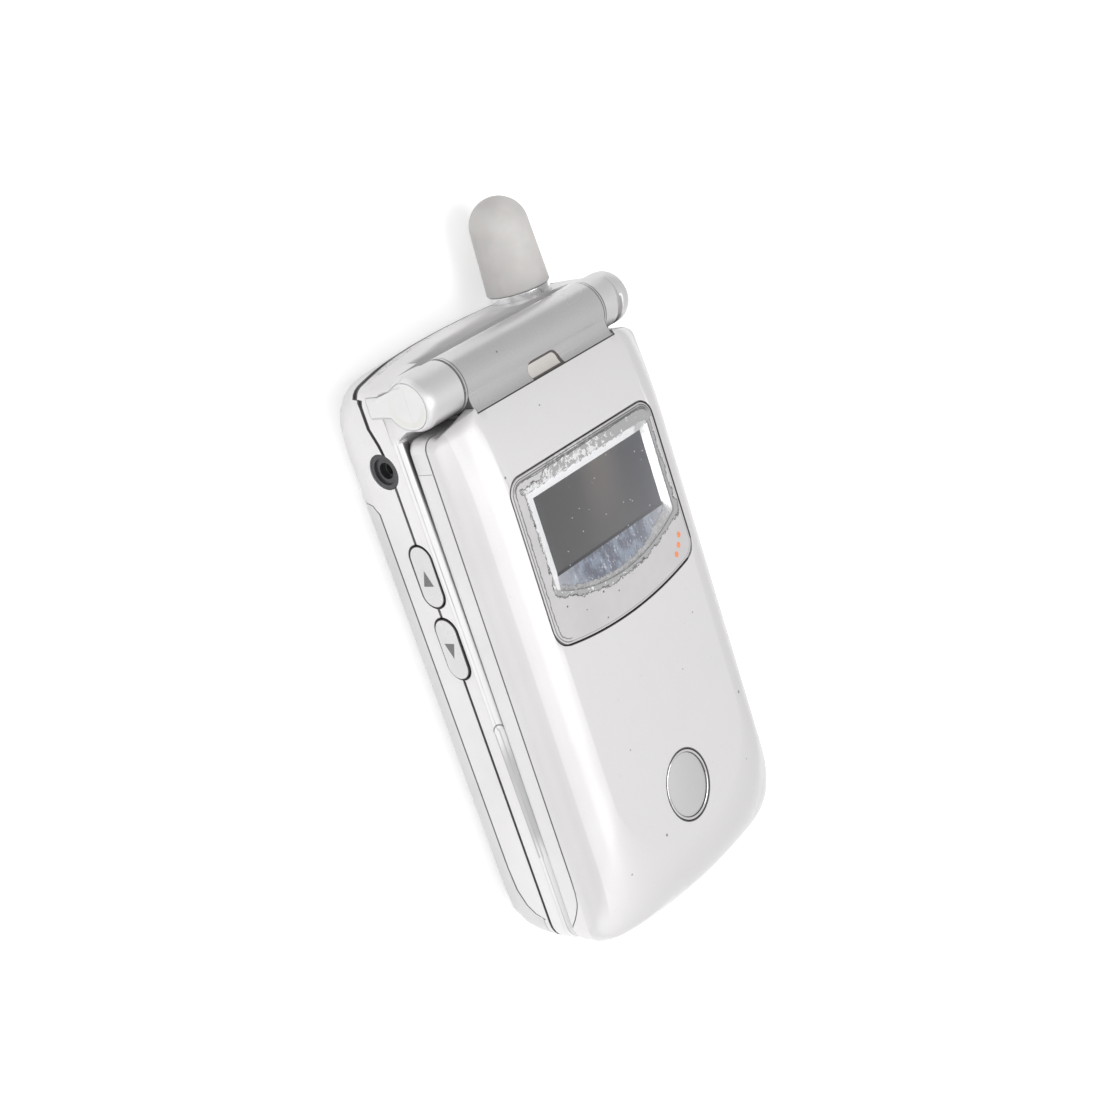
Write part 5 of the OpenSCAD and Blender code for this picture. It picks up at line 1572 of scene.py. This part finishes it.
@dataclass
class Antenna:
    """The stub antenna: a bright collar and a soft tapered sleeve with a round end."""

    x: float = 13.9
    z: float = 7.6
    foot: float = 93.32
    tip: float = 107.5
    foot_r: float = 4.9
    top_r: float = 4.5
    bore: float = 2.05
    bore_depth: float = 7.0
    # inset and height of the sleeve's rounded foot
    rounding: tuple[Pair, ...] = ((0.3, 0.0), (0.12, 0.05), (0.03, 0.16), (0.0, 0.34))

    def build(self) -> None:
        """Builds the sleeve and keeps the collar's own shape."""
        length = self.tip - self.foot
        profile = [(self.bore + 0.05, 0.0)]
        profile += [(self.foot_r - inset, up) for inset, up in self.rounding]
        profile += [(self.top_r * math.cos(t), length - self.top_r + self.top_r * math.sin(t))
                    for t in np.linspace(0, math.pi / 2 - 0.02, 20)]
        centre = (self.x, self.foot, self.z)
        sleeve = turned("antenna_sleeve", profile, Axis.Y, centre, 128)
        bore = [(self.bore, -1), (self.bore, self.bore_depth)]
        cut(sleeve, [turned("bore", bore, Axis.Y, centre, 48)])
        dress(smoothed(sleeve, 0.0, 40), Finish.SLEEVE, "antenna_cap", stands=True)
        refine("antenna_collar", Finish.CHROME, 0.12, 40)


@dataclass
class SideControls:
    """Volume keys with their arrows, the right-hand key and the headset socket."""

    face: float = 24.335
    ink: float = 0.012
    wall: float = 23.9
    settle: float = 0.2
    contact: tuple[float, float, float] = (1.25, 1.08, 6.5)  # outer and inner radius, length
    up: tuple[Pair, ...] = ((64.4, 10.35), (61.95, 11.35), (61.95, 9.35))
    down: tuple[Pair, ...] = ((50.55, 10.4), (52.95, 9.4), (52.95, 11.4))

    def settled(self, x: float) -> float:
        """How far out a key's place lies once its worn face has settled towards the wall."""
        return self.wall + (x - self.wall) * self.settle if x > self.wall else x

    def key(self, node: str) -> None:
        """A side key with a rounded, slightly settled face."""
        piece = tidy_flats(whole_copy(node))
        for vertex in piece.data.vertices:
            x = vertex.co.x / MM
            vertex.co.x = math.copysign(self.settled(abs(x)), x) * MM
        dress(smoothed(piece, 0.3, 40, 3), Finish.SIDE_KEY, node, stands=True)

    def build(self) -> None:
        """Builds the keys, arrows and socket."""
        for node, arrow in (("volume_up_key", self.up), ("volume_down_key", self.down)):
            self.key(node)
            face = self.settled(self.face)
            mark = prism(node + "_arrow", arrow, Axis.X, -face - self.ink, -face + 0.05)
            dress(smoothed(mark), Finish.MARK, node)
        self.key("side_key")
        refine("headset_jack", Finish.BLACK, 0.18, 40)
        outer, inner, length = self.contact
        centre = (-22.4, JACK_Y, JACK_Z)
        profile = [(outer, 0), (outer, length), (inner, length), (inner, 0)]
        sleeve = turned("headset_contact", profile, Axis.X, centre, 48)
        hole = [(inner - 0.01, -1), (inner - 0.01, 8)]
        cut(sleeve, [turned("hole", hole, Axis.X, centre, 48)])
        dress(smoothed(sleeve), Finish.STEEL, "headset_jack")


@dataclass
class Housings:
    """The base's shells, the hinge's covers and the flip's inner face."""

    foot: float = 23.2
    slope: float = 1 / 92.5
    length: float = 92.5
    low_arc: float = 96.0
    high_arc: float = 222.0
    low_corner: float = 3.8
    high_corner: float = 1.8
    back_edge: float = 5.0
    heel_length: float = 9.0
    heel_height: float = 9.5
    crown_round: float = 0.9

    def plan(self, z: float, inset: float) -> Outline:
        """The base's outline at a height, drawn in by inset."""
        edge = heel = 0.0
        if z < self.back_edge:
            edge = self.back_edge - math.sqrt(self.back_edge ** 2 - (self.back_edge - z) ** 2)
        if z < self.heel_height:
            heel = self.heel_length * (1 - math.sqrt(1 - (1 - z / self.heel_height) ** 2))
        top = 0.8 * edge + inset
        low_corner = max(self.low_corner - inset, 2.5) + 0.3 * edge
        high_corner = max(self.high_corner - inset, 0.6)
        high_corner += self.crown_round * max(0.0, SEAM.corner - z)
        return Outline(self.foot - edge - inset, self.slope, heel + inset,
                       self.low_arc - heel - inset, low_corner, self.length - top,
                       self.high_arc - top, high_corner)

    def core(self, name: str) -> Piece:
        """What lies behind the groove's floor."""
        heights = [1.0 + 0.5 * i for i in range(20)] + [14.6]
        return loft(name, [self.plan(z, SEAM.depth).loop() for z in heights], heights)

    def groove(self, end: bool) -> Piece:
        """The band that the seam's groove takes out of both housings."""
        line = SEAM.end_line() if end else SEAM.side_line()
        flat = [(a, z - SEAM.reach) for a, z in line]
        flat += [(a, z + SEAM.reach) for a, z in reversed(line)]
        run = (Axis.Y, SEAM.end_y, 96) if end else (Axis.X, -30, 30)
        return cut(prism("seam_band", flat, *run), [self.core("groove_core")])

    def slot_bands(self) -> list[Piece]:
        """The shallow rings round the side keys."""
        bands = []
        for centre, side in [(c, -1) for c in SIDE_KEYS.centres] + [(SIDE_KEYS.right, 1)]:
            flat = SIDE_KEYS.flat(centre, SIDE_KEYS.reach)
            band = prism("slot_band", flat, Axis.X, *sorted((side * 30.0, side * 20.0)))
            bands.append(cut(band, [self.core("slot_core")]))
        return bands

    def grooved(self, node: str, finish: Finish) -> None:
        """A housing with its half of the grooves."""
        piece = cut(whole_copy(node), [self.groove(False), self.groove(True), *self.slot_bands()])
        dress(smoothed(tidy_flats(piece), 0.0, 30), finish, node, stands=True)

    def build(self) -> None:
        """Rounds and paints the shells."""
        self.grooved("front_housing", Finish.HOUSING)
        self.grooved("rear_housing", Finish.BACK)
        refine("battery_door", Finish.DOOR, 0.0, 30)
        refine("battery_latch", Finish.DOOR, 0.06, 40)
        refine("flip_inner_housing", Finish.STRIP, 0.0, 30)
        for node, finish in (("hinge_barrel", Finish.BARREL), ("indicator_window", Finish.GUIDE),
                             ("ear_cap_left", Finish.CAP), ("ear_cap_right", Finish.CAP)):
            refine(node, finish, 0.0, 35)


@dataclass
class Keypad:
    """The keys under the flip, with plain figures on the number keys."""

    figures: str = "123456789*0#"
    names: tuple[str, ...] = (
        "key_1", "key_2", "key_3", "key_4", "key_5", "key_6", "key_7", "key_8", "key_9",
        "key_star", "key_0", "key_hash")
    pitch_x: float = 13.2
    pitch_y: float = 8.5
    low_row: float = 12.6
    nav_y: float = 62.0
    face: float = 14.1
    figure_h: float = 4.2

    def figure(self, name: str, text: str, x: float, y: float) -> Piece:
        """A printed figure on a key's face."""
        curve = bpy.data.curves.new(name, "FONT")
        curve.body = text
        curve.size = self.figure_h * MM
        curve.align_x, curve.align_y = "CENTER", "CENTER"
        curve.extrude = 0.02 * MM
        curve.resolution_u = 4
        holder = shown(name + "_text", curve)
        bpy.context.view_layer.update()
        graph = bpy.context.evaluated_depsgraph_get()
        mesh = bpy.data.meshes.new_from_object(holder.evaluated_get(graph))
        bpy.data.objects.remove(holder)
        mesh.transform(Matrix.Translation(at(x, y, self.face - 0.01)))
        return outward(shown(name, mesh))

    def number_keys(self) -> None:
        """The number keys and their figures."""
        for i, node in enumerate(self.names):
            refine(node, Finish.KEY, 0.12, 40)
            x = self.pitch_x * (i % 3 - 1)
            y = self.low_row + self.pitch_y * (3 - i // 3)
            mark = self.figure(node + "_figure", self.figures[i], x, y)
            dress(mark, Finish.MARK, node)

    def bars(self) -> None:
        """The bars on the soft keys and on the call and end keys."""
        wide, narrow = (4.2, 1.1, 0.5), (3.4, 0.5, 0.24)
        for node, bar, x, y, finish in (("call_key", wide, -14.2, 51.5, Finish.GREEN),
                                        ("end_key", wide, 14.2, 51.5, Finish.RED),
                                        ("soft_key_left", narrow, -12.6, 70.4, Finish.MARK),
                                        ("soft_key_right", narrow, 12.6, 70.4, Finish.MARK)):
            mark = prism(node + "_bar", rounded_flat(*bar, x, y), Axis.Z, self.face - 0.1,
                         self.face + 0.012)
            dress(smoothed(mark), finish, node)

    def points(self) -> None:
        """The four arrows in the navigation key's dish."""
        flat = ((5.9, 0.0), (5.0, 0.8), (5.0, -0.8))
        points = []
        for turn in range(4):
            c, s = math.cos(turn * math.pi / 2), math.sin(turn * math.pi / 2)
            points.append(prism("point",
                                [(c * a - s * b, self.nav_y + s * a + c * b) for a, b in flat],
                                Axis.Z, self.face - 0.55, self.face - 0.33))
        dress(smoothed(joined("nav_key_points", points)), Finish.MARK, "nav_key")

    def build(self) -> None:
        """Builds the keys and their marks."""
        self.number_keys()
        for node in ("nav_key", "soft_key_left", "soft_key_right", "call_key", "end_key"):
            refine(node, Finish.KEY, 0.12, 40)
        self.bars()
        self.points()


@dataclass
class Internals:
    """Pieces inside the shells and round the battery."""

    plain: tuple[tuple[Finish, str], ...] = (
        (Finish.STEEL, "hinge_bushing hinge_cam_shaft hinge_cartridge shield_can vibration_motor "
         "motor_weight flip_magnet sim_holder housing_screws flip_screws"),
        (Finish.FLEX, "hinge_flex"), (Finish.BOARD, "main_board flip_board"),
        (Finish.FILM, "keypad_domes"), (Finish.DARK, "microphone loudspeaker earpiece"),
        (Finish.INNER, "inner_display"), (Finish.BLACK, "battery_contacts"))

    def build(self) -> None:
        """Paints the inner pieces and adds their contacts."""
        for finish, nodes in self.plain:
            for node in nodes.split():
                painted(frame["nodes"][node], finish)
        refine("accessory_connector", Finish.BLACK, 0.05, 40)
        refine("battery_pack", Finish.CELL, 0.25, 40)
        refine("inner_lens", Finish.SMOKED, 0.05, 40)
        refine("flip_bumpers", Finish.PAD, 0.12, 40)
        for name, count, start, pitch, size, finish, node in (
                ("connector_pins", 8, (-4.9, 3.6, 10.76), (1.4, 0, 0), (0.7, 2.2, 0.1),
                 Finish.GOLD, "accessory_connector"),
                ("battery_pads", 4, (-4.5, 65.47, 5.1), (3, 0, 0), (1.5, 0.05, 1.4),
                 Finish.GOLD, "battery_contacts"),
                ("contact_springs", 4, (-4.5, 66.7, 5.0), (3, 0, 0), (1.0, 0.6, 0.9),
                 Finish.GOLD, "battery_contacts"),
                ("latch_ribs", 3, (0, 76.65, 0.07), (0, 0.8, 0), (7.6, 0.3, 0.1),
                 Finish.BACK, "battery_latch")):
            row = Repeater.row(name, count, start, pitch, size, finish)
            dress(row, finish, node)


@dataclass
class Studio:
    """Pale floor, soft lamps and the camera."""

    eye: Point = (-0.199507, 0.093022, 0.218114)
    right: Point = (0.62078, -0.29453, 0.72655)
    up: Point = (0.41989, 0.90753, 0.00914)
    focal: float = 66.08
    sensor: float = 36.0
    left_fill: float = 0.62
    right_fill: float = 0.60
    paper: Colour = (0.86, 0.86, 0.86)
    floor_half: float = 3.0
    floor_glow: float = 0.42
    aim_height: float = 0.01
    # name, direction, distance in metres, size in metres, watts
    lamps: tuple[tuple[str, Point, float, float, float], ...] = (
        ("key", (-0.8, 0.0, 0.75), 0.6, 0.5, 0.85), ("end", (-0.2, -0.95, 0.75), 0.6, 0.45, 0.45),
        ("top", (0.05, -0.1, 1.0), 0.8, 0.5, 2.8))

    def floor(self) -> None:
        """A pale floor that keeps the phone's shadow and shows white to the camera."""
        mesh = bpy.data.meshes.new("floor")
        far = self.floor_half
        mesh.from_pydata([(-far, -far, 0), (far, -far, 0), (far, far, 0), (-far, far, 0)], [],
                         [(0, 1, 2, 3)])
        floor = shown("floor", mesh)
        material = bpy.data.materials.new("floor_paper")
        tree = Tree(material, "ShaderNodeOutputMaterial")
        paper = tree.fill(tree.add("ShaderNodeBsdfDiffuse"), self.paper).outputs[0]
        glow = tree.add("ShaderNodeEmission")
        glow.inputs["Strength"].default_value = self.floor_glow
        lit = tree.fill(tree.add("ShaderNodeAddShader"), paper, glow.outputs[0]).outputs[0]
        path = tree.add("ShaderNodeLightPath").outputs
        mirrored = tree.math("MAXIMUM", path["Is Glossy Ray"], path["Is Transmission Ray"])
        seen = tree.math("ADD", path["Is Camera Ray"], mirrored, clamp=True)
        tree.show(tree.chosen(seen, paper, lit))
        mesh.materials.append(material)

    def lamp(self, name: str, towards: Point, distance: float, size: float, watts: float) -> None:
        """A square soft lamp that looks at the phone from a direction."""
        light = bpy.data.lights.new(name, "AREA")
        light.shape = "SQUARE"
        light.size = size
        light.energy = watts
        holder = shown(name, light)
        direction = Vector(towards).normalized()
        holder.location = direction * distance + Vector((0, 0, self.aim_height))
        holder.rotation_euler = (-direction).to_track_quat("-Z", "Y").to_euler()

    def world(self) -> None:
        """An even pale surround, a little brighter on the left, and white to the camera."""
        world = bpy.data.worlds.new("studio")
        bpy.context.scene.world = world
        tree = Tree(world, "ShaderNodeOutputWorld")
        across = tree.add("ShaderNodeSeparateXYZ")
        tree.link(tree.add("ShaderNodeTexCoord").outputs["Generated"], across.inputs[0])
        run = tree.fill(tree.add("ShaderNodeMapRange"), across.outputs[0], -0.6, 0.75,
                        self.left_fill, self.right_fill)
        fill, white = tree.add("ShaderNodeBackground"), tree.add("ShaderNodeBackground")
        tree.link(run.outputs[0], fill.inputs["Strength"])
        path = tree.add("ShaderNodeLightPath").outputs
        tree.show(tree.chosen(path["Is Camera Ray"], fill.outputs[0], white.outputs[0]))

    def camera(self) -> None:
        """The camera, above the phone's left side."""
        data = bpy.data.cameras.new("view")
        data.sensor_width = self.sensor
        data.lens = self.focal
        data.clip_start = 0.01
        holder = shown("view", data)
        x, y = Vector(self.right).normalized(), Vector(self.up).normalized()
        z = x.cross(y).normalized()
        y = z.cross(x)
        turn = Matrix((x, y, z)).transposed().to_4x4()
        holder.matrix_world = Matrix.Translation(Vector(self.eye)) @ turn
        bpy.context.scene.camera = holder

    def build(self) -> None:
        """Sets up the floor, lamps, surround and camera."""
        bpy.context.scene.view_settings.view_transform = "Standard"
        self.floor()
        for lamp in self.lamps:
            self.lamp(*lamp)
        self.world()
        self.camera()


def main() -> None:
    """Builds the phone's looks and its studio."""
    logging.basicConfig(level=logging.INFO, format="%(message)s")
    for assembly in (FlipCover(), OuterWindow(), Badge(), Housings(), SideControls(), Antenna(),
                     Keypad(), Internals(), Studio()):
        assembly.build()
        LOG.info("built %s", type(assembly).__name__)


if __name__ == "__main__":
    main()
